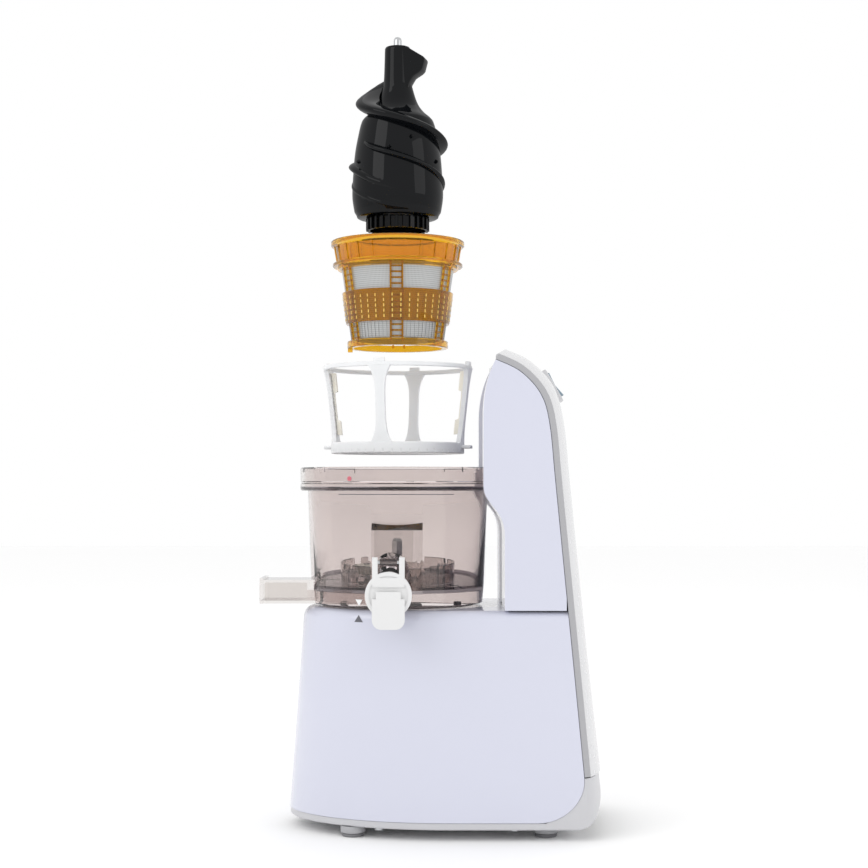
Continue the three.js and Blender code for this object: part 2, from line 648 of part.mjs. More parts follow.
function brushPost(degrees) {
  const angle = THREE.MathUtils.degToRad(degrees);
  return mapped(6, 1, (u, v, w) => {
    const flare = 1 + 1.1 * Math.abs(u * 2 - 1) ** 4;
    const z = THREE.MathUtils.lerp(BRUSH_LOW + 6, BRUSH_TOP - 2, u);
    const r = THREE.MathUtils.lerp(45.6, 51.9, u) + w * 3.3;
    const [x, y] = polar(r, angle + ((v - 0.5) * 8.5 * flare) / r);
    return [x, y, z];
  });
}

function brushFrame() {
  const top = ring(51.7, 55.4, BRUSH_TOP - 3.2, BRUSH_TOP, 32);
  const bottom = ring(43.6, 49.5, BRUSH_LOW, 281.8, 32);
  let frame = join(top, bottom, ...POST_ANGLES.map(brushPost));
  POST_ANGLES.forEach((degrees, i) => {
    const angle = THREE.MathUtils.degToRad(degrees);
    const lug = new THREE.BoxGeometry(3, 8, 3).translate(53.6, 0, BRUSH_TOP + 1.2).rotateZ(angle);
    frame = join(frame, solid(lug));
    if (i % 2) return;
    const tab = new THREE.BoxGeometry(9, 9, 2.6).translate(51.5, 0, 278.5).rotateZ(angle);
    frame = join(frame, solid(tab));
  });
  return frame;
}

// Silicone strip on the inside of a post, with an upper and a lower wiping lobe
function wiper(degrees) {
  const angle = THREE.MathUtils.degToRad(degrees);
  return mapped(16, 1, (u, v, w) => {
    const z = THREE.MathUtils.lerp(288, 334.6, u);
    const outer = 45.6 + ((z - BRUSH_LOW - 6) * 6.3) / (BRUSH_TOP - BRUSH_LOW - 8) - GAP * 3;
    const depth = z < 299 || z > 319.5 ? 3.4 : 1;
    const r = outer - (1 - w) * depth;
    const across = (v - 0.5) * 2.6;
    return [r * Math.cos(angle) - across * Math.sin(angle), r * Math.sin(angle) + across * Math.cos(angle), z];
  });
}

// ---- small parts ----

function idlerGear() {
  const teeth = solid(raised(gearShape(IDLER_TEETH, IDLER_MODULE, 0.12, 0.25, 1.05), 177.3, 184.6)
    .rotateZ(IDLER_ANGLE + Math.PI));
  return cut(teeth, plug(2.5, 100, 200, 16));
}

// Carries a solid drawn flat (x down the slope, z away from it) to its place on the back
function onBack(at, geometry) {
  const tangent = spine.getTangent(at);
  const place = spine.getPoint(at);
  const frame = new THREE.Matrix4().makeBasis(
    new THREE.Vector3(tangent.x, 0, tangent.y),
    new THREE.Vector3(0, -1, 0),
    new THREE.Vector3(tangent.y, 0, -tangent.x),
  );
  return solid(geometry.applyMatrix4(frame).translate(place.x, 0, place.y));
}

const block = (length, width, low, high) => (
  new THREE.BoxGeometry(length, width, high - low).translate(0, 0, (low + high) / 2));

function switchBezel() {
  return cut(onBack(SWITCH_AT, block(27, 24, -8, 2.2)), onBack(SWITCH_AT, block(21.6, 18.6, -5.5, 10)));
}

// Rocker with a shallow V on its face, turning on a pin across the column
function switchRocker() {
  const side = polygon([[-10, -0.6], [-10, 4.6], [0, 2.6], [10, 3.4], [10, -0.6], [4, -4], [-4, -4]]);
  const geometry = new THREE.ExtrudeGeometry(side, { depth: 17.6, bevelEnabled: false });
  return onBack(SWITCH_AT, geometry.rotateX(Math.PI / 2).translate(0, 8.8, 0));
}

const switchBody = () => onBack(SWITCH_AT, block(18, 16, -24, -8.3));

function cordGland() {
  const profile = [[3.4, 0], [9, 0], [9, 2], [5.7, 2.3], [5.7, 9], [3.4, 9]];
  const points = profile.map(([r, z]) => new THREE.Vector2(r, z));
  points.push(points[0].clone());
  const geometry = new THREE.LatheGeometry(points, 24).rotateX(Math.PI / 2).rotateY(-Math.PI / 2);
  return solid(geometry.translate(GLAND_X, INLET_Y, INLET_Z));
}

// Wires from the switch down the column to the control board
function switchHarness() {
  const route = new THREE.CatmullRomCurve3([[98, 300], [96, 270], [95, 215], [95, 165], [96, 130], [100, 100]]
    .map(([x, z]) => new THREE.Vector3(x, 0, z)));
  const section = new THREE.Shape();
  section.absarc(0, 0, 2.5, 0, TWO_PI, false);
  return solid(new THREE.ExtrudeGeometry(section, {
    steps: 16, curveSegments: 4, bevelEnabled: false, extrudePath: route,
  }));
}

function controlBoard() {
  const board = box(99, 101, -40, 40, 32, 92);
  const parts = [box(100.5, 112, -30, -14, 40, 62), box(100.5, 108, -4, 20, 44, 58), box(100.5, 106, 8, 30, 68, 84)];
  return join(board, ...parts);
}

const screw = () => turned([[0, 5.6], [3.6, 5.6], [3.6, 7.7], [1.8, 7.7], [1.8, 26], [0, 27]], 12);

// ---- assembly ----

piece('base_tray', baseTray(), GREY);
piece('front_shell', frontShell(), LILAC);
piece('column_shell', columnShell(), LILAC);
piece('back_cover', backCover(), WHITE);
piece('trim_band_left', trimBand(-1), GREY);
piece('trim_band_right', trimBand(1), GREY);
FOOT_SPOTS.forEach(([name, x, y]) => {
  piece(`foot_${name}`, foot(), GREY, x, y);
  piece(`foot_pad_${name}`, footPad(), RUBBER, x, y);
});
SCREW_SPOTS.forEach(([x, y], i) => piece(`tray_screw_${i + 1}`, screw(), STEEL, x, y));
piece('bowl_seat', bowlSeat(), LILAC);
piece('shaft_seal', turned([[8.1, 157], [12.7, 157], [12.7, 164], [9, 165.5], [8.1, 164]], 24), RUBBER);

piece('gearbox_housing', gearboxHousing(), CAST);
piece('gearbox_cover', gearboxCover(), CAST);
piece('bearing_output_upper', ring(8.1, 14, 140.6, 148, 24), STEEL);
piece('bearing_output_lower', ring(4.8, 7.4, 104.3, 111, 20), STEEL);
piece('layshaft_axle', plug(3, 98.2, 140, 16, LAYSHAFT_X, 0), STEEL);
piece('layshaft_gear', layshaftGear(), NYLON);
piece('output_gear', outputGear(), NYLON);
piece('drive_shaft', driveShaft(), STEEL);

piece('motor_stator', motorStator(), CAST, MOTOR_X);
piece('winding_top', ring(28, 37.5, 78.3, 84, 18, MOTOR_X, 0), COPPER);
piece('winding_bottom', ring(28, 37.5, 29, 35.4, 18, MOTOR_X, 0), COPPER);
piece('motor_end_cap', motorEndCap(), CAST);
piece('bearing_motor_lower', ring(3.5, 8, 22.5, 29, 18, MOTOR_X, 0), STEEL);
piece('motor_rotor', ring(3.5, 21.8, 36, 78, 40, MOTOR_X, 0), STEEL);
piece('motor_shaft', motorShaft(), STEEL);
piece('cooling_fan', coolingFan(), NYLON);

piece('control_board', controlBoard(), BOARD);
piece('switch_body', switchBody(), RUBBER);
piece('switch_harness', switchHarness(), RUBBER);
piece('switch_bezel', switchBezel(), WHITE);
piece('switch_rocker', switchRocker(), ['#c4cfd8', 0.2, 0]);
piece('cord_gland', cordGland(), RUBBER);

const [idlerX, idlerY] = polar(IDLER_CENTRE_R, IDLER_ANGLE);
piece('bowl_shell', bowlShell(), SMOKE);
piece('bowl_seal', turned([[6.4, 178], [7.7, 178], [7.7, 186.4], [10.6, 186.4], [10.6, 188], [6.4, 188]], 24), SILICONE);
piece('idler_pin', plug(2.2, BOWL_FLOOR + GAP, 186, 16, idlerX, idlerY), STEEL);
piece('idler_gear', idlerGear(), NYLON, idlerX, idlerY);
piece('cap_hinge_pin', capHingePin(), STEEL);
piece('cap_lever', capLever(), CAP_WHITE);
piece('cap_seal', capSeal(), SILICONE);

piece('auger_body', augerBody(), BLACK);
piece('auger_pin', augerPin(), STEEL);
piece('auger_socket', augerSocket(), STEEL);
piece('strainer_frame', strainerFrame(), AMBER);
piece('strainer_mesh', strainerMesh(), STEEL);
piece('brush_frame', brushFrame(), ['#f2f3f4', 0.4, 0]);
piece('brush_wiper_left', wiper(POST_ANGLES[2]), SILICONE);
piece('brush_wiper_right', wiper(POST_ANGLES[0]), SILICONE);

export default juicer;
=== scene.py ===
import json
import math
import bmesh
import bpy
from mathutils import Matrix, Vector


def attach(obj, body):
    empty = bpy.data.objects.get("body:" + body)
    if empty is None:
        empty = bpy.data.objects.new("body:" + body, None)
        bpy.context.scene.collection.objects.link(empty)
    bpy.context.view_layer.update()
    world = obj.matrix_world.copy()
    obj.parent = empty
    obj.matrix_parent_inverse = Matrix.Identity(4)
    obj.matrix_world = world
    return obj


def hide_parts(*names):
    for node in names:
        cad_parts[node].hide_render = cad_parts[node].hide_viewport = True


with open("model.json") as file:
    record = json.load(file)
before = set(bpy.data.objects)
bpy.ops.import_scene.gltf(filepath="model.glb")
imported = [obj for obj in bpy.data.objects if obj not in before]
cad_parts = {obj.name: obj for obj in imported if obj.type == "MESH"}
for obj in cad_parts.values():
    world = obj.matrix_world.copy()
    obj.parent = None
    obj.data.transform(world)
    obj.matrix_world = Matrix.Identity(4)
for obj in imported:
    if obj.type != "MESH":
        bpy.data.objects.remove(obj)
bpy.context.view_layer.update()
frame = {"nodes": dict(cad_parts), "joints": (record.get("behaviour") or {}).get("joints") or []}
print("frame loaded:", len(frame["nodes"]), "nodes")

# Pieces are drawn in millimetres about the bowl's axis, then carried into the frame
joints = {joint["name"]: joint for joint in frame["joints"]}
bowlAxis = Vector((*joints["drive_spin"]["pos_m"][:2], 0))
toFrame = Matrix.Translation(bowlAxis) @ Matrix.Scale(0.001, 4)
fromFrame = toFrame.inverted()

bpy.context.scene.view_settings.view_transform = "Standard"

camera = {"aside": 27, "distance": 1265, "height": 248.5, "lens": 70.5, "shift": 0.062}


def addCamera():
    data = bpy.data.cameras.new("view")
    data.lens = camera["lens"]
    data.shift_y = camera["shift"]
    data.clip_end = 50
    thing = bpy.data.objects.new("view", data)
    thing.location = toFrame @ Vector((camera["aside"], -camera["distance"], camera["height"]))
    thing.rotation_euler = (math.radians(90), 0, 0)
    bpy.context.scene.collection.objects.link(thing)
    bpy.context.scene.camera = thing


lighting = {
    "world": 1.0,
    "aim": (0, 0, 0.25),
    "panels": [  # place in metres, size, watts
        ((-1.5, -1.2, 1.5), 1.2, 8),
        ((1.7, -1.0, 1.0), 1.1, 4),
        ((0.2, 0.9, 2.0), 1.4, 3),
    ],
}


def addLight():
    world = bpy.data.worlds.new("studio")
    world.use_nodes = True
    background = world.node_tree.nodes["Background"]
    background.inputs["Color"].default_value = (1, 1, 1, 1)
    background.inputs["Strength"].default_value = lighting["world"]
    bpy.context.scene.world = world
    for i, (place, size, watts) in enumerate(lighting["panels"]):
        data = bpy.data.lights.new(f"panel{i + 1}", "AREA")
        data.size = size
        data.energy = watts
        thing = bpy.data.objects.new(f"panel{i + 1}", data)
        thing.location = place
        aim = Vector(lighting["aim"]) - Vector(place)
        thing.rotation_euler = aim.to_track_quat("-Z", "Y").to_euler()
        bpy.context.scene.collection.objects.link(thing)


ground = {"size": 6, "shade": 0.98, "rough": 0.9}


def addFloor():
    bm = bmesh.new()
    bmesh.ops.create_grid(bm, x_segments=1, y_segments=1, size=ground["size"])
    mesh = bpy.data.meshes.new("floor")
    bm.to_mesh(mesh)
    bm.free()
    thing = bpy.data.objects.new("floor", mesh)
    bpy.context.scene.collection.objects.link(thing)
    finish, _, shader = newMaterial("floorWhite")
    shader.inputs["Base Color"].default_value = (*[ground["shade"]] * 3, 1)
    shader.inputs["Roughness"].default_value = ground["rough"]
    mesh.materials.append(finish)


def newMaterial(name):
    material = bpy.data.materials.new(name)
    material.use_nodes = True
    tree = material.node_tree
    return material, tree, tree.nodes["Principled BSDF"]


def addNode(tree, kind, operation=None):
    node = tree.nodes.new("ShaderNode" + kind)
    if operation:
        node.operation = operation
    return node


def noiseOn(tree, scale, detail=3, stretch=(1, 1, 1)):
    coords = addNode(tree, "TexCoord")
    mapping = addNode(tree, "Mapping")
    mapping.inputs["Scale"].default_value = stretch
    noise = addNode(tree, "TexNoise")
    noise.inputs["Scale"].default_value = scale
    noise.inputs["Detail"].default_value = detail
    tree.links.new(coords.outputs["Object"], mapping.inputs["Vector"])
    tree.links.new(mapping.outputs["Vector"], noise.inputs["Vector"])
    return noise


def setGloss(tree, shader, noise, rough, vary):
    span = addNode(tree, "MapRange")
    span.inputs["To Min"].default_value = rough * (1 - vary)
    span.inputs["To Max"].default_value = rough * (1 + vary)
    tree.links.new(noise.outputs["Fac"], span.inputs["Value"])
    tree.links.new(span.outputs["Result"], shader.inputs["Roughness"])


def setColour(tree, shader, noise, colour, vary):
    ramp = addNode(tree, "ValToRGB")
    ramp.color_ramp.elements[0].position = 0.3
    ramp.color_ramp.elements[1].position = 0.7
    ramp.color_ramp.elements[0].color = (*[c * (1 - vary) for c in colour], 1)
    ramp.color_ramp.elements[1].color = (*colour, 1)
    tree.links.new(noise.outputs["Fac"], ramp.inputs["Fac"])
    tree.links.new(ramp.outputs["Color"], shader.inputs["Base Color"])


def setBump(tree, shader, height, depth, strength=0.5):
    bump = addNode(tree, "Bump")
    bump.inputs["Strength"].default_value = strength
    bump.inputs["Distance"].default_value = depth
    tree.links.new(height, bump.inputs["Height"])
    tree.links.new(bump.outputs["Normal"], shader.inputs["Normal"])


# Opaque plastic, rubber or metal: faint mottling, uneven gloss and a fine grain
def solidFinish(name, colour, rough, vary=0.03, metal=0, grain=900, depth=0.00001, coat=0,
                stretch=(1, 1, 1), specular=0.5, relief=0.5):
    material, tree, shader = newMaterial(name)
    fine = noiseOn(tree, grain, 3, stretch)
    setColour(tree, shader, noiseOn(tree, 9, 2), colour, vary)
    setGloss(tree, shader, fine, rough, 0.2)
    setBump(tree, shader, fine.outputs["Fac"], depth, relief)
    shader.inputs["Metallic"].default_value = metal
    shader.inputs["Specular IOR Level"].default_value = specular
    shader.inputs["Coat Weight"].default_value = coat
    shader.inputs["Coat Roughness"].default_value = 0.04
    return material


# Clear plastic with a tint, faint flow lines and uneven gloss
def clearFinish(name, colour, rough, ior, through, vary=0.05):
    material, tree, shader = newMaterial(name)
    broad = noiseOn(tree, 14, 2, (1, 1, 0.4))
    setColour(tree, shader, broad, colour, vary)
    setGloss(tree, shader, broad, rough, 0.3)
    setBump(tree, shader, broad.outputs["Fac"], 0.00005, 0.1)
    shader.inputs["Transmission Weight"].default_value = through
    shader.inputs["IOR"].default_value = ior
    return material


# Soft white moulding that lets some light in
def milkyFinish(name, colour, rough, reach):
    material, tree, shader = newMaterial(name)
    broad = noiseOn(tree, 40, 3)
    setColour(tree, shader, broad, colour, 0.03)
    setGloss(tree, shader, broad, rough, 0.2)
    setBump(tree, shader, broad.outputs["Fac"], 0.00004, 0.2)
    shader.inputs["Subsurface Weight"].default_value = 0.4
    shader.inputs["Subsurface Radius"].default_value = (1, 1, 1)
    shader.inputs["Subsurface Scale"].default_value = reach
    return material


# A 0 to 1 wave along a value, so many radians to its unit
def waveOf(tree, value, rate):
    scaled = addNode(tree, "Math", "MULTIPLY")
    scaled.inputs[1].default_value = rate
    wave = addNode(tree, "Math", "SINE")
    lifted = addNode(tree, "MapRange")
    lifted.inputs["From Min"].default_value = -1
    tree.links.new(value, scaled.inputs[0])
    tree.links.new(scaled.outputs[0], wave.inputs[0])
    tree.links.new(wave.outputs[0], lifted.inputs["Value"])
    return lifted.outputs["Result"]


# Steel sheet etched with rows of fine slots round the bowl's axis
def etchedFinish(name):
    material, tree, shader = newMaterial(name)
    coords = addNode(tree, "TexCoord")
    centre = addNode(tree, "Mapping")
    centre.inputs["Location"].default_value = (-bowlAxis.x, -bowlAxis.y, 0)
    split = addNode(tree, "SeparateXYZ")
    angle = addNode(tree, "Math", "ARCTAN2")
    tree.links.new(coords.outputs["Object"], centre.inputs["Vector"])
    tree.links.new(centre.outputs["Vector"], split.inputs["Vector"])
    tree.links.new(split.outputs["Y"], angle.inputs[0])
    tree.links.new(split.outputs["X"], angle.inputs[1])
    both = addNode(tree, "Math", "MULTIPLY")
    tree.links.new(waveOf(tree, angle.outputs[0], 240), both.inputs[0])
    tree.links.new(waveOf(tree, split.outputs["Z"], 4500), both.inputs[1])
    ramp = addNode(tree, "ValToRGB")
    ramp.color_ramp.elements[0].color = (0.5, 0.51, 0.51, 1)
    ramp.color_ramp.elements[1].color = (0.2, 0.2, 0.2, 1)
    tree.links.new(both.outputs[0], ramp.inputs["Fac"])
    tree.links.new(ramp.outputs["Color"], shader.inputs["Base Color"])
    setBump(tree, shader, both.outputs[0], -0.00008, 0.6)
    shader.inputs["Metallic"].default_value = 0.4
    shader.inputs["Roughness"].default_value = 0.42
    return material


materials = {
    "lilac_plastic": solidFinish("lilacPlastic", (0.62, 0.632, 0.735), 0.2, 0.015, grain=220,
                                 coat=0.5, depth=0.00001, relief=0.03),
    "white_plastic": solidFinish("whitePlastic", (0.63, 0.63, 0.645), 0.26, 0.02, grain=220,
                                 coat=0.3, depth=0.00001, relief=0.03),
    "grey_plastic": solidFinish("greyPlastic", (0.4, 0.4, 0.415), 0.4, 0.04),
    "rubber": solidFinish("rubber", (0.2, 0.2, 0.21), 0.75, 0.1, grain=600, depth=0.00008),
    "smoke_plastic": clearFinish("smokePlastic", (0.80, 0.74, 0.725), 0.015, 1.45, 1),
    "amber_plastic": clearFinish("amberPlastic", (0.86, 0.47, 0.02), 0.05, 1.4, 0.9),
    "black_plastic": solidFinish("blackPlastic", (0.0035, 0.004, 0.005), 0.3, 0.2, coat=0.35,
                                 depth=0.000003, specular=0),
    "cap_plastic": solidFinish("capPlastic", (0.74, 0.74, 0.74), 0.45, 0.02),
    "brush_plastic": milkyFinish("brushPlastic", (0.78, 0.79, 0.8), 0.3, 0.003),
    "switch_plastic": clearFinish("switchPlastic", (0.36, 0.46, 0.54), 0.1, 1.4, 0.3),
    "silicone": milkyFinish("silicone", (0.88, 0.85, 0.76), 0.55, 0.002),
    "strainer_steel": etchedFinish("etchedSteel"),
    "steel": solidFinish("turnedSteel", (0.55, 0.56, 0.57), 0.22, 0.08, 1, 500, 0.00002,
                         stretch=(1, 1, 14)),
    "cast_aluminium": solidFinish("castAluminium", (0.5, 0.51, 0.52), 0.5, 0.15, 0.9, 350, 0.0001),
    "motor_iron": solidFinish("motorIron", (0.2, 0.21, 0.22), 0.45, 0.2, 0.9, 700, 0.0001,
                              stretch=(0.05, 0.05, 4)),
    "copper": solidFinish("windingCopper", (0.55, 0.24, 0.09), 0.35, 0.25, 0.9, 900, 0.0003,
                          stretch=(0.1, 0.1, 3)),
    "nylon": solidFinish("nylon", (0.7, 0.67, 0.58), 0.45, 0.06, 0, 300),
    "circuit_board": solidFinish("circuitBoard", (0.03, 0.16, 0.08), 0.3, 0.3, 0, 200, 0.0001),
}
darkPrint = solidFinish("darkPrint", (0.12, 0.12, 0.14), 0.5, 0.05)
redPrint = solidFinish("redPrint", (0.6, 0.14, 0.18), 0.5, 0.05)
whitePrint = solidFinish("whitePrint", (0.9, 0.9, 0.9), 0.5, 0.02)
# Dark teal for the painted shade in the gap around the switch key
tealGapShade = solidFinish("tealGapShade", (0.06, 0.12, 0.15), 0.5, 0.1)
trayGrey = solidFinish("trayGrey", (0.56, 0.56, 0.58), 0.35, 0.03)
# Copies of the smoke tint: darker ones for thick moulding and painted shade, and a lighter one for painted
# light
smokeDeepTintAndShade = clearFinish("smokeDeepTintAndShade", (0.2, 0.17, 0.18), 0.03, 1.45, 1)
smokeEdgeShade = clearFinish("smokeEdgeShade", (0.09, 0.08, 0.085), 0.2, 1.3, 0.5)
smokeMiddleTintAndShade = clearFinish("smokeMiddleTintAndShade", (0.6, 0.54, 0.52), 0.03, 1.45, 1)
smokePaintedLight = clearFinish("smokePaintedLight", (0.86, 0.83, 0.81), 0.03, 1.45, 1)
slotYellow = solidFinish("slotYellow", (0.8, 0.55, 0.1), 0.4, 0.05)
print("materials made")


def newSheet(stepsU, stepsV, place):
    bm = bmesh.new()
    bmesh.ops.create_grid(bm, x_segments=stepsU, y_segments=stepsV, size=0.5)
    for vert in bm.verts:
        vert.co = place(vert.co.x + 0.5, vert.co.y + 0.5)
    return bm


# A closed slab: place(u, v, w) says where each point of its two faces lies, w being 0 or 1
def newSlab(stepsU, stepsV, place):
    bm = bmesh.new()
    bmesh.ops.create_grid(bm, x_segments=stepsU, y_segments=stepsV, size=0.5)
    near = bm.verts[:]
    made = bmesh.ops.extrude_face_region(bm, geom=bm.faces[:], use_keep_orig=True)
    far = [part for part in made["geom"] if isinstance(part, bmesh.types.BMVert)]
    for verts, w in ((near, 0), (far, 1)):
        for vert in verts:
            vert.co = place(vert.co.x + 0.5, vert.co.y + 0.5, w)
    bmesh.ops.recalc_face_normals(bm, faces=bm.faces)
    return bm


# A profile of radius and height turned about an upright axis
def newLathe(points, steps=96, x=0, y=0):
    bm = bmesh.new()
    verts = [bm.verts.new((r, 0, z)) for r, z in points]
    edges = [bm.edges.new(pair) for pair in zip(verts, verts[1:])]
    if points[0][0] or points[-1][0]:
        edges.append(bm.edges.new((verts[-1], verts[0])))
    bmesh.ops.spin(bm, geom=verts + edges, cent=(0, 0, 0), axis=(0, 0, 1),
                   angle=math.tau, steps=steps, use_merge=True)
    bmesh.ops.remove_doubles(bm, verts=bm.verts, dist=0.0001)
    bmesh.ops.recalc_face_normals(bm, faces=bm.faces)
    bmesh.ops.translate(bm, verts=bm.verts, vec=(x, y, 0))
    return bm


def newPlug(radius, low, high, steps=96, x=0, y=0):
    return newLathe([(0, low), (radius, low), (radius, high), (0, high)], steps, x, y)


def newRing(inner, outer, low, high, steps=96, edge=0.3):
    return newLathe([(inner, low + edge), (inner + edge, low), (outer - edge, low), (outer, low + edge),
                     (outer, high - edge), (outer - edge, high), (inner + edge, high),
                     (inner, high - edge)], steps)


# A flat outline pushed along z or y
def newPrism(outline, low, high, along="z"):
    bm = bmesh.new()
    flat = [(a, b, low) if along == "z" else (a, low, b) for a, b in outline]
    face = bm.faces.new([bm.verts.new(point) for point in flat])
    made = bmesh.ops.extrude_face_region(bm, geom=[face], use_keep_orig=True)
    far = [part for part in made["geom"] if isinstance(part, bmesh.types.BMVert)]
    push = (0, 0, high - low) if along == "z" else (0, high - low, 0)
    bmesh.ops.translate(bm, verts=far, vec=push)
    bmesh.ops.recalc_face_normals(bm, faces=bm.faces)
    return bm


def newBox(x0, x1, y0, y1, z0, z1, edge=0, rounds=3):
    bm = bmesh.new()
    middle = Vector((x0 + x1, y0 + y1, z0 + z1)) / 2
    size = Matrix.Diagonal((x1 - x0, y1 - y0, z1 - z0, 1))
    bmesh.ops.create_cube(bm, size=1, matrix=Matrix.Translation(middle) @ size)
    if edge:
        bmesh.ops.bevel(bm, geom=bm.edges[:], offset=edge, offset_type="OFFSET", affect="EDGES",
                        segments=rounds, profile=0.5, material=-1)
    return bm


def newRod(start, end, radius, sides=48):
    line = Vector(end) - Vector(start)
    bm = bmesh.new()
    turn = line.to_track_quat("Z", "Y").to_matrix().to_4x4()
    middle = Matrix.Translation((Vector(start) + Vector(end)) / 2)
    bmesh.ops.create_cone(bm, cap_ends=True, segments=sides, radius1=radius, radius2=radius,
                          depth=line.length, matrix=middle @ turn)
    return bm


# Part of a ring between two angles, in degrees
def newArc(inner, outer, low, high, start, end, steps=12):
    def place(u, v, w):
        angle = math.radians(start + (end - start) * u)
        radius = outer if w else inner
        return radius * math.cos(angle), radius * math.sin(angle), low + (high - low) * v
    return newSlab(steps, 1, place)


# A stack of closed outlines of the same count, closed at both ends
def newLoft(loops):
    count, rows = len(loops[0]), len(loops) - 1
    bm = newSheet(count, rows, lambda u, v: loops[round(v * rows)][round(u * count) % count])
    bmesh.ops.remove_doubles(bm, verts=bm.verts, dist=0.0001)
    bmesh.ops.holes_fill(bm, edges=[edge for edge in bm.edges if edge.is_boundary], sides=0)
    bmesh.ops.recalc_face_normals(bm, faces=bm.faces)
    return bm


def moved(bm, matrix):
    bm.transform(matrix)
    return bm


def turnedBy(bm, degrees):
    return moved(bm, Matrix.Rotation(math.radians(degrees), 4, "Z"))


# Puts several loose shells in one mesh
def gathered(*parts):
    whole = parts[0]
    for part in parts[1:]:
        mesh = bpy.data.meshes.new("part")
        part.to_mesh(mesh)
        part.free()
        whole.from_mesh(mesh)
        bpy.data.meshes.remove(mesh)
    return whole


def combined(operation, whole, *tools):
    for tool in tools:
        holders = []
        for bm in (whole, tool):
            mesh = bpy.data.meshes.new("holder")
            bm.to_mesh(mesh)
            bm.free()
            holder = bpy.data.objects.new("holder", mesh)
            bpy.context.scene.collection.objects.link(holder)
            holders.append(holder)
        modifier = holders[0].modifiers.new("combine", "BOOLEAN")
        modifier.operation = operation
        modifier.solver = "EXACT"
        modifier.object = holders[1]
        graph = bpy.context.evaluated_depsgraph_get()
        whole = bmesh.new()
        whole.from_mesh(holders[0].evaluated_get(graph).to_mesh())
        for holder in holders:
            mesh = holder.data
            bpy.data.objects.remove(holder)
            bpy.data.meshes.remove(mesh)
    return whole


def cut(whole, *tools):
    return combined("DIFFERENCE", whole, *tools)


def joined(whole, *tools):
    return combined("UNION", whole, *tools)


def shared(whole, *tools):
    return combined("INTERSECT", whole, *tools)


def addPiece(name, bm, slot, body, nodes=(), edge=0, rounds=3, sharp=35, finish=None):
    bmesh.ops.remove_doubles(bm, verts=bm.verts, dist=0.001)
    bmesh.ops.dissolve_degenerate(bm, edges=bm.edges, dist=0.0005)
    bmesh.ops.recalc_face_normals(bm, faces=bm.faces)
    bm.transform(toFrame)
    mesh = bpy.data.meshes.new(name)
    bm.to_mesh(mesh)
    bm.free()
    mesh.shade_smooth()
    mesh.set_sharp_from_angle(angle=math.radians(sharp))
    mesh.materials.append(finish or materials[slot])
    piece = bpy.data.objects.new(name, mesh)
    bpy.context.scene.collection.objects.link(piece)
    if edge:
        modifier = piece.modifiers.new("roundedEdges", "BEVEL")
        modifier.width = edge * 0.001
        modifier.segments = rounds
        modifier.limit_method = "ANGLE"
        modifier.angle_limit = math.radians(sharp)
        modifier.harden_normals = True
    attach(piece, body)
    if nodes:
        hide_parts(*nodes)
    return piece


# A smooth curve through points, with t from 0 to 1
def splineAt(points, t):
    place = (len(points) - 1) * min(max(t, 0), 1)
    i = min(int(place), len(points) - 2)
    w = place - i
    before, a, b, after = (points[min(max(k, 0), len(points) - 1)] for k in (i - 1, i, i + 1, i + 2))
    result = []
    for p0, p1, p2, p3 in zip(before, a, b, after):
        m1, m2 = (p2 - p0) / 2, (p3 - p1) / 2
        cubic, square = 2 * p1 - 2 * p2 + m1 + m2, -3 * p1 + 3 * p2 - 2 * m1 - m2
        result.append(cubic * w ** 3 + square * w ** 2 + m1 * w + p1)
    return Vector(result)


def tangentAt(points, t):
    step = 0.0001
    return (splineAt(points, min(t + step, 1)) - splineAt(points, max(t - step, 0))).normalized()


# The point a distance outside a side-view curve, as x and z
def outward(points, t, distance):
    place, along = splineAt(points, t), tangentAt(points, t)
    return Vector((place.x + along.y * distance, place.y - along.x * distance))


def bezier(a, b, c, d, steps):
    points = []
    for i in range(1, steps + 1):
        t = i / steps
        weights = ((1 - t) ** 3, 3 * t * (1 - t) ** 2, 3 * t * t * (1 - t), t ** 3)
        points.append(tuple(sum(w * p[k] for w, p in zip(weights, (a, b, c, d))) for k in (0, 1)))
    return points


casing = {
    "halfWidth": 74, "wall": 2.5, "frontCentre": 40, "frontReach": 120.8, "backReach": 96.75,
    "frontLean": 0.0724, "backLean": 0.0978, "trayBottom": 8, "panelBottom": 13.3, "deck": 162,
    "trayBackTop": 44.5, "shoulder": 8, "recess": 80, "seat": 56,
    "sideEdge": [(132.3, 45), (126.6, 104), (120.8, 163), (112.2, 251), (108, 293),
                 (101.8, 314.2), (87.6, 330), (70.2, 338.5)],
    "spine": [(148.7, 45), (141.9, 104), (135.4, 163), (126.6, 251), (122.2, 295),
              (114.6, 322.5), (97.5, 341), (80, 349.5)],
    "screws": [(-12, -56), (-12, 56), (84, -60), (84, 60)],
    "screwHole": 2.2, "inlet": (36, 28), "inletRadius": 6, "trayInset": 0.6,
    "vents": 5, "ventPlan": (-18, 9, 4, 24),  # first slot's side, spacing, width and half length
    "trim": 4.4, "trimGap": 0.3, "trimThick": 1.8,
}


def planOutline(inset, z, crowned=False):
    c = casing
    half = c["halfWidth"] - inset
    points = []
    reach = c["frontReach"] - inset
    for i in range(65):
        angle = math.radians(90 + 180 * i / 64)
        points.append((c["frontCentre"] + reach * math.cos(angle), half * math.sin(angle)))
    if crowned:
        back = c["frontCentre"] + c["backReach"]
        crown = back + 16.5 - inset
        points.append((back, -half))
        points += bezier((back, -half), (back + 9, -half + 3), (crown, -half + 30), (crown, 0), 16)
        points += bezier((crown, 0), (crown, half - 30), (back + 9, half - 3), (back, half), 16)
    else:
        points += [(220, -half), (220, half)]
    loop = []
    for x, y in points:
        x -= c["frontCentre"]
        reach, lean = (c["frontReach"], c["frontLean"]) if x < 0 else (c["backReach"], c["backLean"])
        loop.append((c["frontCentre"] + x * (1 - lean * z / reach), y, z))
    return loop


def edgeLine(distance, steps=40):
    return [tuple(outward(casing["sideEdge"], i / steps, distance)) for i in range(steps + 1)]


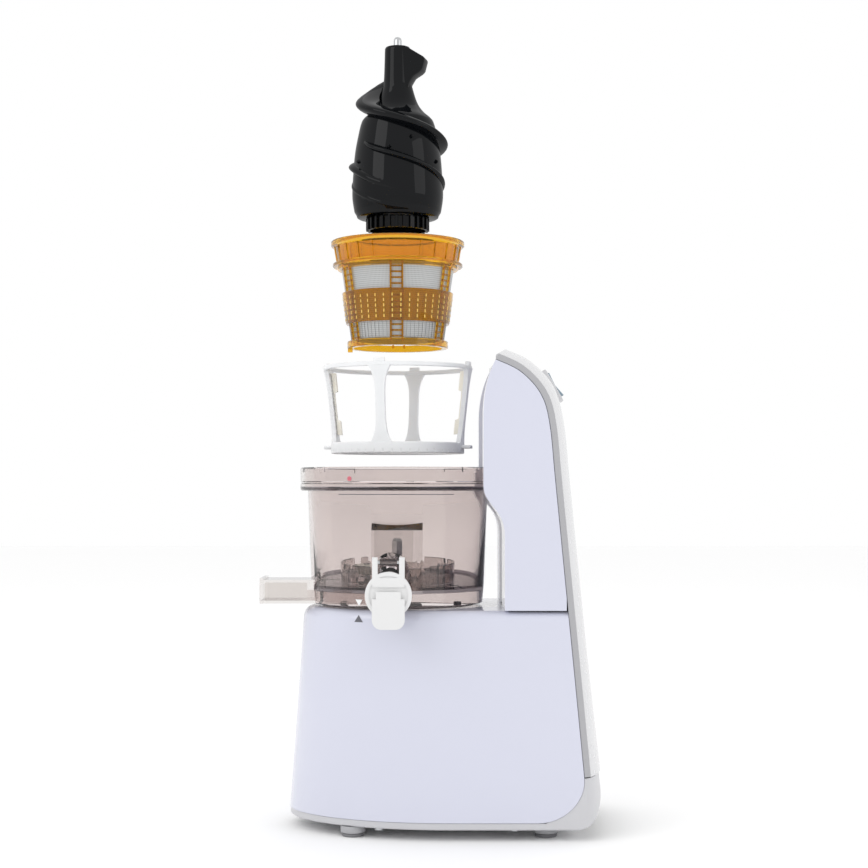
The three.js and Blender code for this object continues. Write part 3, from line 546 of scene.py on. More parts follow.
def basePanelOutline(distance):
    c = casing
    low = c["panelBottom"] - distance
    corner = outward(c["sideEdge"], 0, distance)
    points = [(-200, low), (100, low)]
    points += bezier((100, low), (119, low), (corner.x + 1.6, corner.y - 16), tuple(corner), 12)
    edge = [point for point in edgeLine(distance)[1:] if point[1] < c["deck"]]
    return points + edge + [(edge[-1][0], 400), (-200, 400)]


def shellLoops(inset, low):
    c = casing
    radius = c["shoulder"] - inset
    top = c["deck"] - c["shoulder"]
    loops = [planOutline(inset, low), planOutline(inset, (low + top) / 2), planOutline(inset, top)]
    for i in range(1, 7):
        angle = math.radians(15 * i)
        loops.append(planOutline(inset + radius * (1 - math.cos(angle)), top + radius * math.sin(angle)))
    return loops


def addFrontShell():
    c = casing
    shell = cut(newLoft(shellLoops(0, c["panelBottom"])), newLoft(shellLoops(c["wall"], -10)))
    shell = shared(shell, newPrism(basePanelOutline(0), -100, 100, "y"))
    shell = cut(shell, newPlug(c["seat"] + 0.3, 100, 200, 128), newBox(84, 106, -20, 20, 140, 180))
    addPiece("frontShellSkin", shell, "lilac_plastic", "root", ["front_shell"], 0.5)


def addTray():
    c = casing
    low, inset = c["trayBottom"], c["trayInset"]
    tray = newLoft([planOutline(inset + 1.4, low, True), planOutline(inset + 0.3, low + 0.8, True),
                    planOutline(inset, low + 2, True), planOutline(inset, 27, True),
                    planOutline(inset, c["trayBackTop"], True)])
    deep = inset + c["wall"]
    inner = newLoft([planOutline(deep, low + 2.5, True), planOutline(deep, 80, True)])
    roundSide = [(-200, low), (124, low)]
    roundSide += bezier((124, low), (142, low), (149, 24), (149.2, 45.5), 16) + [(-200, 45.5)]
    tray = shared(cut(tray, inner), newPrism(roundSide, -100, 100, "y"))
    panel = cut(newPrism(basePanelOutline(0.3), -100, 100, "y"), newBox(-90, 200, -69, 69, 20, 500))
    tray = cut(tray, panel, newBox(-300, 106, -100, 100, c["panelBottom"] - 0.3, 60))
    first, apart, wide, half = c["ventPlan"]
    slots = []
    for i in range(c["vents"]):
        x = first + i * apart
        slots.append(newBox(x, x + wide, -half, half, 0, 20, 1.9, 4))
    holes = [newPlug(c["screwHole"], 0, 20, 24, x, y) for x, y in c["screws"]]
    inletY, inletZ = c["inlet"]
    inlet = newRod((128, inletY, inletZ), (168, inletY, inletZ), c["inletRadius"])
    addPiece("baseTrayPan", cut(tray, *slots, *holes, inlet), "grey_plastic", "root", ["base_tray"], 0.3, 2,
             finish=trayGrey)


def columnOutline(inset):
    low, high = 76.7 + inset, 61.7 + inset
    foot = casing["deck"] + 0.3 - inset * 4
    points = [(low, foot), (low, 215)]
    points += bezier((low, 215), (low, 234), (high, 236), (high, 250 + inset), 16)
    points.append((high, 300))
    for i in range(1, 13):
        t = i / 12
        points.append(((1 - t) ** 2 * high + 2 * t * (1 - t) * high + t * t * (70.2 + inset),
                       (1 - t) ** 2 * 300 + 2 * t * (1 - t) * 322 + t * t * (338.5 - inset)))
    rear = [point for point in reversed(edgeLine(30 if inset else 0)) if point[1] > casing["deck"] + 0.3]
    if inset:
        rear = [point for point in rear if point[1] < 338.5 - inset]
    else:
        rear = rear[1:]
    return points + rear + [(rear[-1][0], foot)]


def addColumn():
    c = casing
    half = c["halfWidth"]
    outer = cut(newPrism(columnOutline(0), -half, half, "y"), newPlug(c["recess"], 100, 400, 160))
    inner = cut(newPrism(columnOutline(c["wall"]), c["wall"] - half, half - c["wall"], "y"),
                newPlug(c["recess"] + c["wall"], 100, 400, 160))
    addPiece("columnShellSkin", cut(outer, inner), "lilac_plastic", "root", ["column_shell"], 0.4)


# Carries a part drawn flat, x up the slope and z away from it, to its place on the back
def onBack(bm):
    along, place = tangentAt(casing["spine"], switch["at"]), splineAt(casing["spine"], switch["at"])
    turn = Matrix(((along.x, 0, along.y, place.x), (0, -1, 0, 0),
                   (along.y, 0, -along.x, place.y), (0, 0, 0, 1)))
    return moved(bm, turn)


switch = {"at": 0.72, "length": 27, "width": 24, "corner": 3.2, "hole": (13.8, 12.3),
          "pocket": (10.8, 9.3), "keyOpening": (10.5, 9.05), "rim": 0.05}


def addBackCover():
    edge = 71.2

    def place(u, v, w):
        y = math.sin((v - 0.5) * math.pi) * edge
        depth = (1 - w) * casing["wall"]
        middle = outward(casing["spine"], u, -depth)
        side = outward(casing["sideEdge"], u, 5 - depth)
        x, z = middle.lerp(side, abs(y / edge) ** 3)
        return x, y, z

    # The upper end turns down to the column's hollow front
    top, corner, front = (splineAt(casing["spine"], 1), outward(casing["sideEdge"], 1, 5),
                          splineAt(casing["sideEdge"], 1))

    def brow(u, v, w):
        y = (u * 2 - 1) * (edge - 0.4)
        high = top.lerp(corner, abs(y / edge) ** 3)
        lowX = max(front.x + 0.3, math.sqrt((casing["recess"] + 0.3) ** 2 - y ** 2))
        lowZ = front.y + 0.8 - (lowX - front.x) * 0.36
        bulge = 1.6 * math.sin(math.pi * v)
        x = high.x + (lowX - high.x) * v + w * 2 - bulge * 0.5
        return x, y, high.y - 0.9 + (lowZ - high.y + 0.9) * v + bulge

    length, width = switch["hole"]
    hole = onBack(newBox(-length, length, -width, width, -15, 15))
    cover = gathered(cut(newSlab(80, 40, place), hole), newSlab(64, 6, brow))
    addPiece("backCoverSkin", cover, "white_plastic", "root", ["back_cover"], 0.4)


def addTrim():
    for name, side in (("trim_band_left", -1), ("trim_band_right", 1)):
        def place(u, v, w):
            x, z = outward(casing["sideEdge"], 0.0015 + u * 0.9985, casing["trimGap"] + v * casing["trim"])
            return x, side * (73.4 - w * casing["trimThick"]), z
        addPiece(name + "_strip", newSlab(80, 1, place), "grey_plastic", "root", [name], 0.4)


def addSwitch():
    s = switch
    length, width = s["length"] / 2, s["width"] / 2
    bezel = newBox(-length, length, -width, width, -8, 2.2)
    upright = [edge for edge in bezel.edges if abs(edge.verts[0].co.z - edge.verts[1].co.z) > 1]
    bmesh.ops.bevel(bezel, geom=upright, offset=s["corner"], offset_type="OFFSET", affect="EDGES",
                    segments=6, profile=0.5, material=-1)
    length, width = s["pocket"]
    pocket = newBox(-length, length, -width, width, -5.5, 10)
    addPiece("switchBezelFrame", onBack(cut(bezel, pocket)), "white_plastic", "root", ["switch_bezel"], 0.5)
    # A thin dark teal frame in the pocket around the rocker key is painted shade in the gap between key and
    # bezel
    length, width = length - s["rim"], width - s["rim"]
    gapShade = newBox(-length, length, -width, width, 0.9, 1.9)
    length, width = s["keyOpening"]
    gapShade = cut(gapShade, newBox(-length, length, -width, width, 0, 3))
    addPiece("switchGapShade", onBack(gapShade), "rubber", "root", finish=tealGapShade)
    face = [(-10, -0.6), (-10, 4.6), (-5, 3.5), (-0.6, 2.65), (0.6, 2.65), (5, 2.95), (10, 3.4), (10, -0.6),
            (4, -4), (-4, -4)]
    addPiece("switchRockerKey", onBack(newPrism(face, -8.8, 8.8, "y")), "switch_plastic", "switch",
             ["switch_rocker"], 0.6)


foot = {"radius": 8.8, "padRadius": 7.8,
        "spots": {"front_left": (-31, -50), "front_right": (-31, 50),
                  "rear_left": (107, -52), "rear_right": (107, 52)}}


def addFeet():
    for name, (x, y) in foot["spots"].items():
        r, p = foot["radius"], foot["padRadius"]
        cup = [(0, 2.6), (r - 1, 2.6), (r - 0.4, 2.9), (r, 3.8), (r, 7.2), (r - 0.3, 7.7), (0, 7.7)]
        pad = [(0, 0.3), (p - 3, 0.3), (p - 2.6, 0), (p - 0.7, 0), (p, 0.7), (p, 2.3), (0, 2.3)]
        addPiece(f"foot_{name}_cup", newLathe(cup, 64, x, y), "grey_plastic", "root", [f"foot_{name}"])
        addPiece(f"foot_{name}_pad", newLathe(pad, 64, x, y), "rubber", "root", [f"foot_pad_{name}"])


def addSeat():
    r, top = casing["seat"], casing["deck"]
    seat = newLathe([(13, 157), (r, 157), (r, top - 0.6), (r - 0.6, top), (48, top),
                     (47.6, top - 0.5), (46, top - 0.5),
                     (45.6, top), (18, top), (18, top + 2.4), (17.4, top + 3), (13, top + 3)], 128)
    for i in range(3):
        angle = 0.45 + math.tau * i / 3
        x, y = 50 * math.cos(angle), 50 * math.sin(angle)
        lug = newLathe([(0, 158), (3, 158), (3, top + 3.4), (2.4, top + 4), (0, top + 4)], 32, x, y)
        seat = joined(seat, lug)
    addPiece("bowlSeatPlate", seat, "grey_plastic", "root", ["bowl_seat"])
    # Arrow on the shoulder that the bowl's own arrow meets
    corners = [(-29.6, 153.2), (-23.4, 153.2), (-26.5, 158.2)]

    def onShoulder(x, z, lift):
        c = casing
        rise = max(0, z - (c["deck"] - c["shoulder"]))
        inset = c["shoulder"] - math.sqrt(c["shoulder"] ** 2 - rise ** 2) - lift
        reach = (c["frontReach"] - inset) * (1 - c["frontLean"] * z / c["frontReach"])
        return x, -(c["halfWidth"] - inset) * math.sqrt(1 - ((x - c["frontCentre"]) / reach) ** 2), z

    def place(u, v, w):
        x = corners[0][0] + (corners[1][0] - corners[0][0]) * (u if v == 0 else u * (1 - v) + v / 2)
        return onShoulder(x, 153.2 + 5 * v, 0.12 if w else -0.2)
    addPiece("seatArrow", newSlab(6, 6, place), "grey_plastic", "root", finish=darkPrint)


bowl = {
    "bottom": 163.7, "floor": 175.6, "radiusLow": 64, "radiusHigh": 66.7, "rim": 72.2, "rimLow": 246.3,
    "top": 263.4, "wall": 2.4, "collar": 42.8, "collarTop": 190, "pinHole": 1.7,
    "mouth": (-4.4, -92, 174.4), "hinge": (-93.5, 197),
    "outletStart": (-3, -58, 191.5), "outletEnd": (-4.6, -100, 170.3), "outlet": 14.4, "bore": 12.2,
    "idler": (32.4, 2.4),
    "spoutEnd": -100.7, "spoutHalf": 19, "spoutTop": 181,
    "slotStarts": ((-164, 28), (-82, 34), (30, 30), (120, 30)),  # degrees, and how far each runs
}


def addBowl():
    b = bowl
    low, floor, top, rimLow = b["bottom"], b["floor"], b["top"], b["rimLow"]
    rim, wall = b["rim"], b["wall"]
    radiusLow, spoutEnd, spoutHalf = b["radiusLow"], b["spoutEnd"], b["spoutHalf"]
    outer = newLathe([(0, low), (62.4, low), (63, low + 0.6), (63.8, floor - 2.4), (radiusLow, floor),
                      (64.1, floor + 1.8), (b["radiusHigh"], rimLow), (rim - 0.8, rimLow + 0.2),
                      (rim, rimLow + 1), (rim, rimLow + 2.6), (rim, 251.4), (rim - 0.7, 251.9),
                      (rim - 0.7, 252.7), (rim, 253.2), (rim, top - 0.7), (rim - 0.7, top), (0, top)], 128)
    inside = newLathe([(0, floor), (59.6, floor), (61, floor + 0.5), (61.7, floor + 2), (64.3, rimLow),
                       (69, rimLow + 2.2), (rim - wall, rimLow + 3.2), (rim - wall, top - 0.5),
                       (rim - wall + 0.5, top), (rim - wall + 0.5, 300), (0, 300)], 128)
    underside = newPlug(60.6, 100, floor - 2, 128)
    shell = cut(outer, inside, underside)
    ring, ringTop = b["collar"], b["collarTop"]
    collar = newLathe([(ring - 1.8, floor - 1), (ring, floor - 1), (ring, ringTop - 0.5),
                       (ring - 0.5, ringTop), (ring - 1.3, ringTop), (ring - 1.8, ringTop - 0.5)], 128)
    steps = [newArc(39, 45, 186.2, 195, a, a + 7, 4) for a in (-146, -62, 25, 118, 200)]
    boss = newLathe([(8, low + 4.5), (11, low + 4.5), (11, 185.4), (10.4, 186), (8, 186)], 48)
    ledges = [turnedBy(newBox(36, 41.5, -2.5, 2.5, 175, 185.7), a) for a in (-90, 30, 215)]
    spout = newBox(spoutEnd, -58, -spoutHalf, spoutHalf, low, b["spoutTop"])
    duct = newBox(-60, -22, -spoutHalf, spoutHalf, low + 0.6, floor - 1)
    flange = newBox(spoutEnd, -98, -20.5, 20.5, low - 0.1, 182.2)
    roof = newPrism([(-72, floor - 1.9), (-72, 218.7), (-60, 225.7), (-60, floor - 1.9)], -18, 18, "y")
    housing = turnedBy(roof, 90)
    bmesh.ops.translate(housing, verts=housing.verts, vec=(1, 0, 0))
    shell = joined(shell, cut(collar, *steps), boss, duct, spout, flange, *ledges, housing)
    start, end = Vector(b["outletStart"]), Vector(b["outletEnd"])
    line = (end - start).normalized()
    mouthX, mouthY, _ = b["mouth"]
    nozzle = cut(newRod(start, end + line * 6, b["outlet"], 64), newBox(-40, 40, -140, mouthY, 100, 250))
    hingeY, hingeZ = b["hinge"]
    ear = joined(newBox(mouthX - 6, mouthX + 6, mouthY, -84, 188.5, hingeZ + 2.4),
                 newBox(mouthX - 6, mouthX + 6, hingeY, mouthY + 1, 191.2, hingeZ + 2.4),
                 newRod((mouthX - 6, hingeY, hingeZ), (mouthX + 6, hingeY, hingeZ), 2.6, 32))
    ear = cut(ear, newRod((mouthX - 30, hingeY, hingeZ), (mouthX + 30, hingeY, hingeZ), b["pinHole"], 24))
    shell = joined(shell, nozzle, ear)
    radius, angle = b["idler"]
    well = newPlug(10.8, 176, 200, 48, radius * math.cos(angle), radius * math.sin(angle))
    aside = newLathe([(ring + 1, floor), (61.6, floor), (64.3, rimLow), (ring + 1, rimLow)], 128)
    inner = spoutHalf - 2
    bores = [newBox(-110, -66, -inner, inner, low + 2, b["spoutTop"] - 2),
             newBox(-70, -24, -inner, inner, low + 2, floor - 2), newBox(-37, -25, -12, 12, 160, 180), aside,
             newRod(start - line * 6, end + line * 8, b["bore"], 64), newPlug(8, 100, 250, 48), well]
    slots = [newArc(66, 71, 259.8, 270, a, a + sweep, 10) for a, sweep in b["slotStarts"]]
    shell = cut(shell, *bores, *slots)
    tintThickAndPaintShade(addPiece("bowlShellClear", shell, "smoke_plastic", "bowl", ["bowl_shell"], 0.35, 2))


# Darker copies of the smoke tint give deeper colour where the moulding is thick. They are also painted shade
# on the rim band, the floor's edge, upward-facing faces and the rounded edges. A lighter copy is painted
# light on the spout's sides
def tintThickAndPaintShade(piece):
    floor, rimLow, spoutRoot = bowl["floor"], bowl["rimLow"], -66
    # The four indices pick: darker tint for thick moulding with painted shade, a lighter tint that is
    # painted light, and painted shade on the rounded edges
    deep, middle, light, edge = 1, 2, 3, 4
    piece.modifiers["roundedEdges"].material = edge
    for tint in (smokeDeepTintAndShade, smokeMiddleTintAndShade, smokePaintedLight, smokeEdgeShade):
        piece.data.materials.append(tint)
    for face in piece.data.polygons:
        x, y, z = fromFrame @ face.center
        radius = math.hypot(x, y)
        level = abs(face.normal.z) > 0.9
        if rimLow - 0.3 < z < rimLow + 2.7 and radius > 63:
            face.material_index = deep
        elif floor - 2.5 < z < floor + 1.9 and radius > 60 and x > spoutRoot:
            face.material_index = deep
        elif floor - 2.5 < z < floor + 0.3 and level and x > spoutRoot:
            face.material_index = deep
        # The spout: painted shade on its top and bottom, painted light on its sides
        elif x < spoutRoot:
            face.material_index = deep if level else light
        # The housing front: painted shade on upward-facing faces, darker tint on the rest
        elif abs(x - 1) < 18.3 and y < -61 and floor < z < 226.5:
            face.material_index = deep if face.normal.z > 0.4 else middle
        elif 40 < radius < 43.5 and floor + 1 < z < bowl["collarTop"] + 0.5:
            face.material_index = middle


marks = {"lineStart": -128, "lineSweep": 76, "lineHeight": 243.6, "lineWidth": 0.5,
         "arrowAt": -114.5, "arrowLow": 164.6, "arrowHeight": 4.6, "arrowWidth": 5.6,
         "dotAt": -117, "dotHeight": 255, "dotRadius": 1.7, "proud": 0.12, "sunk": -0.2}


# Level line, dot on the rim and arrow on the skirt
def addBowlMarks():
    m = marks

    def onWall(angle, z, lift):
        b = bowl
        low = b["radiusLow"]
        radius = low + (b["radiusHigh"] - low) * (z - b["floor"]) / (b["rimLow"] - b["floor"])
        radius = (b["rim"] if z > b["rimLow"] else 63.3 if z < b["floor"] - 3 else radius) + lift
        return radius * math.cos(angle), radius * math.sin(angle), z

    def line(u, v, w):
        degrees = m["lineStart"] + m["lineSweep"] * u
        return onWall(math.radians(degrees), m["lineHeight"] + m["lineWidth"] * v, 0.1 if w else m["sunk"])

    def arrow(u, v, w):
        across = (u - 0.5) * m["arrowWidth"] * v
        angle = math.radians(m["arrowAt"]) + across / bowl["radiusLow"]
        return onWall(angle, m["arrowLow"] + m["arrowHeight"] * v, m["proud"] if w else m["sunk"])

    def dot(u, v, w):
        turn, radius = math.tau * u, m["dotRadius"] * v
        angle = math.radians(m["dotAt"]) + radius * math.cos(turn) / 72
        return onWall(angle, m["dotHeight"] + radius * math.sin(turn), m["proud"] if w else m["sunk"])
    addPiece("bowlLevelLine", newSlab(40, 1, line), "smoke_plastic", "bowl", finish=darkPrint)
    addPiece("bowlArrow", newSlab(6, 6, arrow), "white_plastic", "bowl", finish=whitePrint)
    addPiece("bowlDot", newSlab(24, 3, dot), "white_plastic", "bowl", finish=redPrint)


def addCap():
    x, mouthY, z = bowl["mouth"]
    hingeY, hingeZ = bowl["hinge"]
    face = mouthY - 0.3
    disc = newRod((x, face - 4.2, z), (x, face, z), 16.2, 96)
    dish = newRod((x, face - 6, z), (x, face - 3.4, z), 13.6, 96)
    tab = newBox(x - 11.3, x + 11.3, face - 6.6, face - 3, 151, 172)
    corners = [e for e in tab.edges if abs(e.verts[0].co.y - e.verts[1].co.y) > 1 and e.verts[0].co.z < 160]
    bmesh.ops.bevel(tab, geom=corners, offset=6.5, offset_type="OFFSET", affect="EDGES", segments=8,
                    profile=0.5, material=-1)
    pad = newBox(x - 8.6, x + 8.6, face - 6.6, face - 5.8, 156, 177)
    arms = [newBox(x + s * 9.3 - 1.9, x + s * 9.3 + 1.9, face - 4.2, face, 180, 200.6) for s in (-1, 1)]
    bridge = newBox(x - 9, x + 9, face - 4.2, face - 1.6, 180, 186.5)
    lever = joined(cut(disc, dish), tab, *arms, bridge, pad)
    lever = cut(lever, newRod((x - 30, hingeY, hingeZ), (x + 30, hingeY, hingeZ), bowl["pinHole"], 24))
    addPiece("capLeverFlap", lever, "cap_plastic", "cap", ["cap_lever"], 0.5)
    pin = newRod((x - 11.3, hingeY, hingeZ), (x + 11.3, hingeY, hingeZ), 1.4, 32)
    addPiece("capHingeRod", pin, "steel", "bowl", ["cap_hinge_pin"], 0.25)


auger = {
    "profile": [(27.5, 448.9), (27.5, 450.6), (32.2, 453.4), (33.8, 465), (33.1, 481.4), (31.7, 497.2),
                (29.3, 510.2), (27.2, 518.9), (25, 522.7), (19.5, 527.6), (15.2, 533.6), (11.9, 542.9),
                (10.3, 551.6), (9.5, 575.8)],
    "flights": [  # degrees, height, radius and thickness along each ridge, then steps
        ([(100, 549, 9, 12), (150, 543, 21, 16), (180, 535, 30.5, 15), (225, 526, 33, 10),
          (270, 518, 34.5, 8), (315, 511, 36, 7.5), (360, 503.7, 37.4, 7), (450, 494, 36.5, 6.5),
          (540, 487, 36.5, 6.5), (610, 470, 34.6, 6.5), (700, 455, 32, 5)], 130),
        ([(215, 503, 30, 3), (240, 496, 35, 5), (300, 485, 36, 5), (360, 474, 35.3, 5),
          (430, 461, 33.4, 4)], 60),
        ([(178, 475, 34, 4), (200, 468, 34.6, 5), (250, 456, 33.4, 5), (285, 452.6, 31.6, 4)], 40),
    ],
    "studs": [(-150, 488), (-100, 496), (-70, 504), (-30, 488), (60, 496)],
    "teeth": 26, "toothModule": 1.751, "toothBottom": 439.5, "bottom": 448.9, "top": 575.8, "wingTurn": -14,
}


def coreRadius(z):
    points = auger["profile"]
    for (r0, z0), (r1, z1) in zip(points, points[1:]):
        if z <= z1:
            return r0 + (r1 - r0) * (max(z, z0) - z0) / (z1 - z0)
    return points[-1][0]


# A spiral ridge with a rounded lip that flares into the core
def newFlight(knots, steps):
    def place(u, v, w):
        degrees, z, reach, thickness = splineAt(knots, u)
        root = coreRadius(z) - 3
        side = -math.cos(math.pi * v)
        height = math.sin(math.pi * v) ** 0.55 if 0 < v < 1 else 0
        radius = root + (max(reach, root + 1) - root) * height if w else root
        z += side * thickness / 2 * (1.35 - 0.55 * height)
        angle = math.radians(degrees)
        return radius * math.cos(angle), radius * math.sin(angle), z
    return newSlab(steps, 12, place)


def addAuger():
    a = auger
    low, top = a["bottom"], a["top"]
    smooth = [tuple(splineAt(a["profile"][2:], i / 60)) for i in range(60)]
    core = newLathe([(0, low), (29.4, low), (30.2, 449.4), (30.6, 450.8), *smooth,
                     (9.5, top - 1), (8.8, top), (0, top)], 128)

    wing = newPrism([(0, top), (7, top), (21.8, 566.4), (22.4, 564.8), (20.4, 557.4), (18.6, 555.6),
                     (13.4, 552.6), (10.4, 548), (9.6, 544), (0, 544)], -7.5, 4.5, "y")
    bmesh.ops.bevel(wing, geom=wing.edges[:], offset=1, offset_type="OFFSET", affect="EDGES", segments=3,
                    profile=0.5, material=-1)
    turnedBy(wing, a["wingTurn"])

    studs = []
    for degrees, z in a["studs"]:
        stud = bmesh.new()
        bmesh.ops.create_cone(stud, cap_ends=True, segments=4, radius1=3, radius2=0.6, depth=4)
        lean = Matrix.Rotation(math.radians(90), 4, "Y")
        out = Matrix.Translation((coreRadius(z), 0, z))
        studs.append(turnedBy(moved(stud, out @ lean), degrees))
    flights = [newFlight(*flight) for flight in a["flights"]]
    hollow = newLathe([(0, 400), (20.8, 400), (20.8, 449), (18, 452), (8.4, 456), (8.4, 478), (0, 478)], 96)
    body = joined(core, *flights, wing, *studs, newPegRing())
    body = cut(body, hollow, newPlug(3.3, 560, 600, 32))
    addPiece("augerScrew", body, "black_plastic", "auger", ["auger_body"], sharp=40)
    pin = [(0, 560.4), (3, 560.4), (3, 580.8), (2.7, 582.4), (1.7, 583.5), (0, 583.8)]
    addPiece("augerPinPeg", newLathe(pin, 48), "steel", "auger", ["auger_pin"])


def newPegRing():
    a = auger
    pitch = a["teeth"] * a["toothModule"] / 2
    low, high = pitch - 0.6 * a["toothModule"], pitch + 0.47 * a["toothModule"]
    ring = newLathe([(19.5, a["toothBottom"]), (low, a["toothBottom"]), (low, 448.4), (19.5, 448.4)], 104)
    half = math.tau / a["teeth"] / 4

    def tooth(i):
        turn = bowl["idler"][1] + math.tau * (i + 0.5) / a["teeth"]

        def place(u, v, w):
            angle = turn + (u - 0.5) * 2 * half * (0.62 if w else 1)
            radius = high if w else low - 1
            return radius * math.cos(angle), radius * math.sin(angle), a["toothBottom"] + 8.8 * v
        return newSlab(2, 1, place)
    return joined(ring, gathered(*[tooth(i) for i in range(a["teeth"])]))


strainer = {
    "ribs": 6, "upperRibs": 24, "rungs": 13, "dashes": 40, "dashRows": (373, 376.8, 380.6, 384.4, 388.2),
    "fineRibs": 72, "fineLow": 358, "fineHeight": 11, "railLow": 355, "railHeight": 57, "railApart": 4.2,
    "sleeveLow": (34.1, 358), "sleeveHigh": (41.45, 409.6), "sleeveThick": 0.7,  # radius, height
}


# Radius of the steel sleeve's outside
def sleeveRadius(z):
    (radiusLow, low), (radiusHigh, high) = strainer["sleeveLow"], strainer["sleeveHigh"]
    return radiusLow + (z - low) * (radiusHigh - radiusLow) / (high - low)


def addStrainer():
    s = strainer
    upper = newLathe([(49.5, 430.6), (49.1, 431), (45, 431), (44.6, 430.6), (42.8, 414), (40.4, 410),
                      (44.5, 410), (44.5, 412), (47.8, 412.2), (48.2, 412.6), (48.2, 414.2), (47.8, 414.6),
                      (44.9, 415.4), (46.8, 426.5), (49.1, 427.2), (49.5, 427.8)], 128)

    def upperRib(u, v, w):
        return 44 + 2 * v + (1.6 if w else 0), (u - 0.5) * 1.5, 415.2 + 11.6 * v

    ribs = []
    for i in range(s["upperRibs"]):
        ribs.append(turnedBy(newSlab(1, 4, upperRib), 360 * (i + 0.5) / s["upperRibs"]))
    middle = newLathe([(41.3, 392.4), (41, 392.8), (39.4, 392.8), (36.2, 369.6), (38.1, 369.6),
                       (38.4, 370)], 128)
    lower = newLathe([(33, 352), (37, 352), (37.4, 352.4), (37.4, 356.6), (37, 357), (33, 357)], 128)
    nub = newBox(-37, -33.5, -2, 2, 349.2, 354)
    frameParts = joined(upper, gathered(*ribs))
    frameParts = gathered(frameParts, middle, joined(lower, nub))
    for i in range(s["ribs"]):
        degrees = -90 + 360 * i / s["ribs"]
        for side in (-s["railApart"], s["railApart"]):
            def rail(u, v, w):
                z = s["railLow"] + s["railHeight"] * v
                return sleeveRadius(z) + 0.2 + (1.5 if w else 0), side + (u - 0.5) * 1.5, z
            gathered(frameParts, turnedBy(newSlab(1, 24, rail), degrees))
        for k in range(s["rungs"]):
            middleZ = 358.5 + 50 * k / (s["rungs"] - 1)

            def rung(u, v, w):
                radius = sleeveRadius(middleZ) + 0.2 + (1.1 if w else 0)
                return radius, (u - 0.5) * 2 * s["railApart"], middleZ - 0.6 + 1.2 * v
            gathered(frameParts, turnedBy(newSlab(4, 1, rung), degrees))
    addPiece("strainerFrameClear", frameParts, "amber_plastic", "strainer", ["strainer_frame"], 0, sharp=40)
    dashes = []
    for z in s["dashRows"]:
        for i in range(s["dashes"]):
            radius = 38.4 + (z - 369.6) * 2.9 / 23.2
            dash = newBox(radius - 0.3, radius + 0.12, -0.4, 0.4, z - 1.1, z + 1.1)
            dashes.append(turnedBy(dash, 360 * (i + 0.5) / s["dashes"]))
    addPiece("strainerSlots", gathered(*dashes), "amber_plastic", "strainer", finish=slotYellow)
    (radiusLow, low), (radiusHigh, high) = s["sleeveLow"], s["sleeveHigh"]
    thick = s["sleeveThick"]
    sleeve = newLathe([(radiusLow, low), (radiusHigh, high), (radiusHigh - thick, high),
                       (radiusLow - thick, low)], 128)
    addPiece("strainerSleeve", sleeve, "strainer_steel", "strainer", ["strainer_mesh"])

    def fineRib(u, v, w):
        z = s["fineLow"] + s["fineHeight"] * v
        return sleeveRadius(z) + (0.45 if w else -0.1), (u - 0.5) * 0.8, z

    fine = []
    for i in range(s["fineRibs"]):
        fine.append(turnedBy(newSlab(1, 1, fineRib), 360 * (i + 0.5) / s["fineRibs"]))
    addPiece("strainerFineRibs", gathered(*fine), "strainer_steel", "strainer")


brush = {"top": 339, "bottom": 273.8, "posts": (-13, 77, 167, 257), "scallops": 48, "width": 7, "depth": 3.3,
         "blades": {"left": 167, "right": -13}, "bladeLow": 288, "bladeHigh": 334.6, "bladeWidth": 2.6,
         "lobe": 3.4, "lobes": (299, 319.5), "gap": 0.4}


def postRadius(z):
    low, high = brush["bottom"] + 6, brush["top"] - 2
    return 45.6 + 6.3 * (z - low) / (high - low)


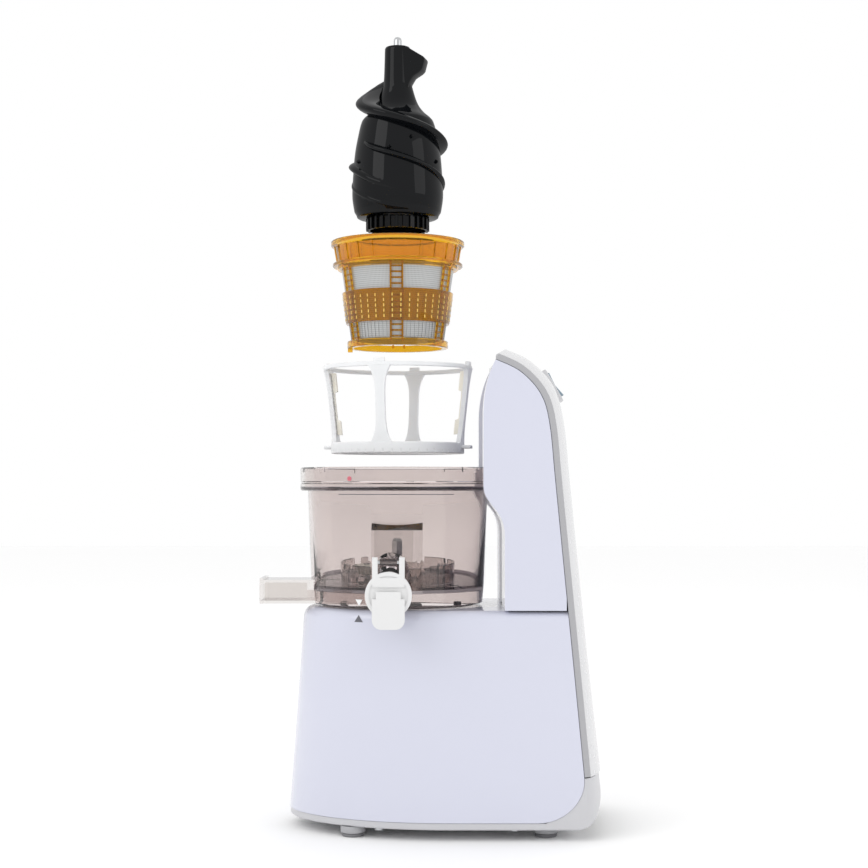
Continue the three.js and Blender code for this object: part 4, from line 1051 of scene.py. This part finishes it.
def addBrush():
    b = brush
    low, high = b["bottom"], b["top"]
    upperRing = newRing(51.7, 55.4, high - 3.2, high, 128, 0.5)
    frameParts = joined(upperRing, newRing(43.6, 49.5, low, 281.8, 128, 0.6))
    for degrees in b["posts"]:
        def post(u, v, w):
            flare = 1 + 1.5 * abs(u * 2 - 1) ** 4
            z = low + 6 + (high - 2 - low - 6) * u
            radius = postRadius(z) + w * b["depth"]
            return radius, (v - 0.5) * b["width"] * flare, z
        lug = newBox(52.1, 55.1, -4, 4, high - 0.6, high + 2.7, 0.5)
        frameParts = joined(frameParts, turnedBy(newSlab(32, 8, post), degrees), turnedBy(lug, degrees))
    for degrees in b["blades"].values():
        tab = newBox(47, 56, -4.5, 4.5, 277.4, 279.9, 0.6)
        frameParts = joined(frameParts, turnedBy(tab, degrees))
    bites = []
    for i in range(b["scallops"]):
        bites.append(turnedBy(newPlug(1.15, 270, 276.6, 12, 50.2, 0), 360 * (i + 0.5) / b["scallops"]))
    frameParts = cut(frameParts, gathered(*bites))
    addPiece("brushFrameWhite", frameParts, "brush_plastic", "brush", ["brush_frame"], 0.4, 2)
    for name, degrees in b["blades"].items():
        def blade(u, v, w):
            z = b["bladeLow"] + (b["bladeHigh"] - b["bladeLow"]) * u
            lobe = 1 if b["lobes"][0] <= z <= b["lobes"][1] else b["lobe"]
            radius = postRadius(z) - b["gap"]
            return radius - (0 if w else lobe), (v - 0.5) * b["bladeWidth"], z
        addPiece(f"brushBlade_{name}", turnedBy(newSlab(40, 2, blade), degrees), "silicone", "brush",
                 [f"brush_wiper_{name}"], 0.4, 2)


addCamera()
addLight()
addFloor()
print("camera, light and floor set")
for stage in (addFrontShell, addTray, addColumn, addBackCover, addTrim, addSwitch, addFeet, addSeat, addBowl,
              addBowlMarks, addCap, addAuger, addStrainer, addBrush):
    stage()
    print(stage.__name__, "done")

# Finish of each CAD node that is shown as it is
keptFinishes = {
    "steel": ["tray_screw_1", "tray_screw_2", "tray_screw_3", "tray_screw_4", "bearing_output_upper",
              "bearing_output_lower", "bearing_motor_lower", "layshaft_axle", "layshaft_gear", "output_gear",
              "drive_shaft", "motor_shaft", "idler_pin", "auger_socket"],
    "cast_aluminium": ["gearbox_housing", "gearbox_cover", "motor_end_cap"],
    "motor_iron": ["motor_stator", "motor_rotor"],
    "copper": ["winding_top", "winding_bottom"],
    "nylon": ["cooling_fan", "idler_gear"],
    "circuit_board": ["control_board"],
    "silicone": ["shaft_seal", "bowl_seal", "cap_seal"],
    "rubber": ["switch_harness", "cord_gland"],
    "grey_plastic": ["switch_body"],
}
for slot, names in keptFinishes.items():
    for name in names:
        mesh = frame["nodes"][name].data
        mesh.materials.clear()
        mesh.materials.append(materials[slot])
print("CAD nodes finished")
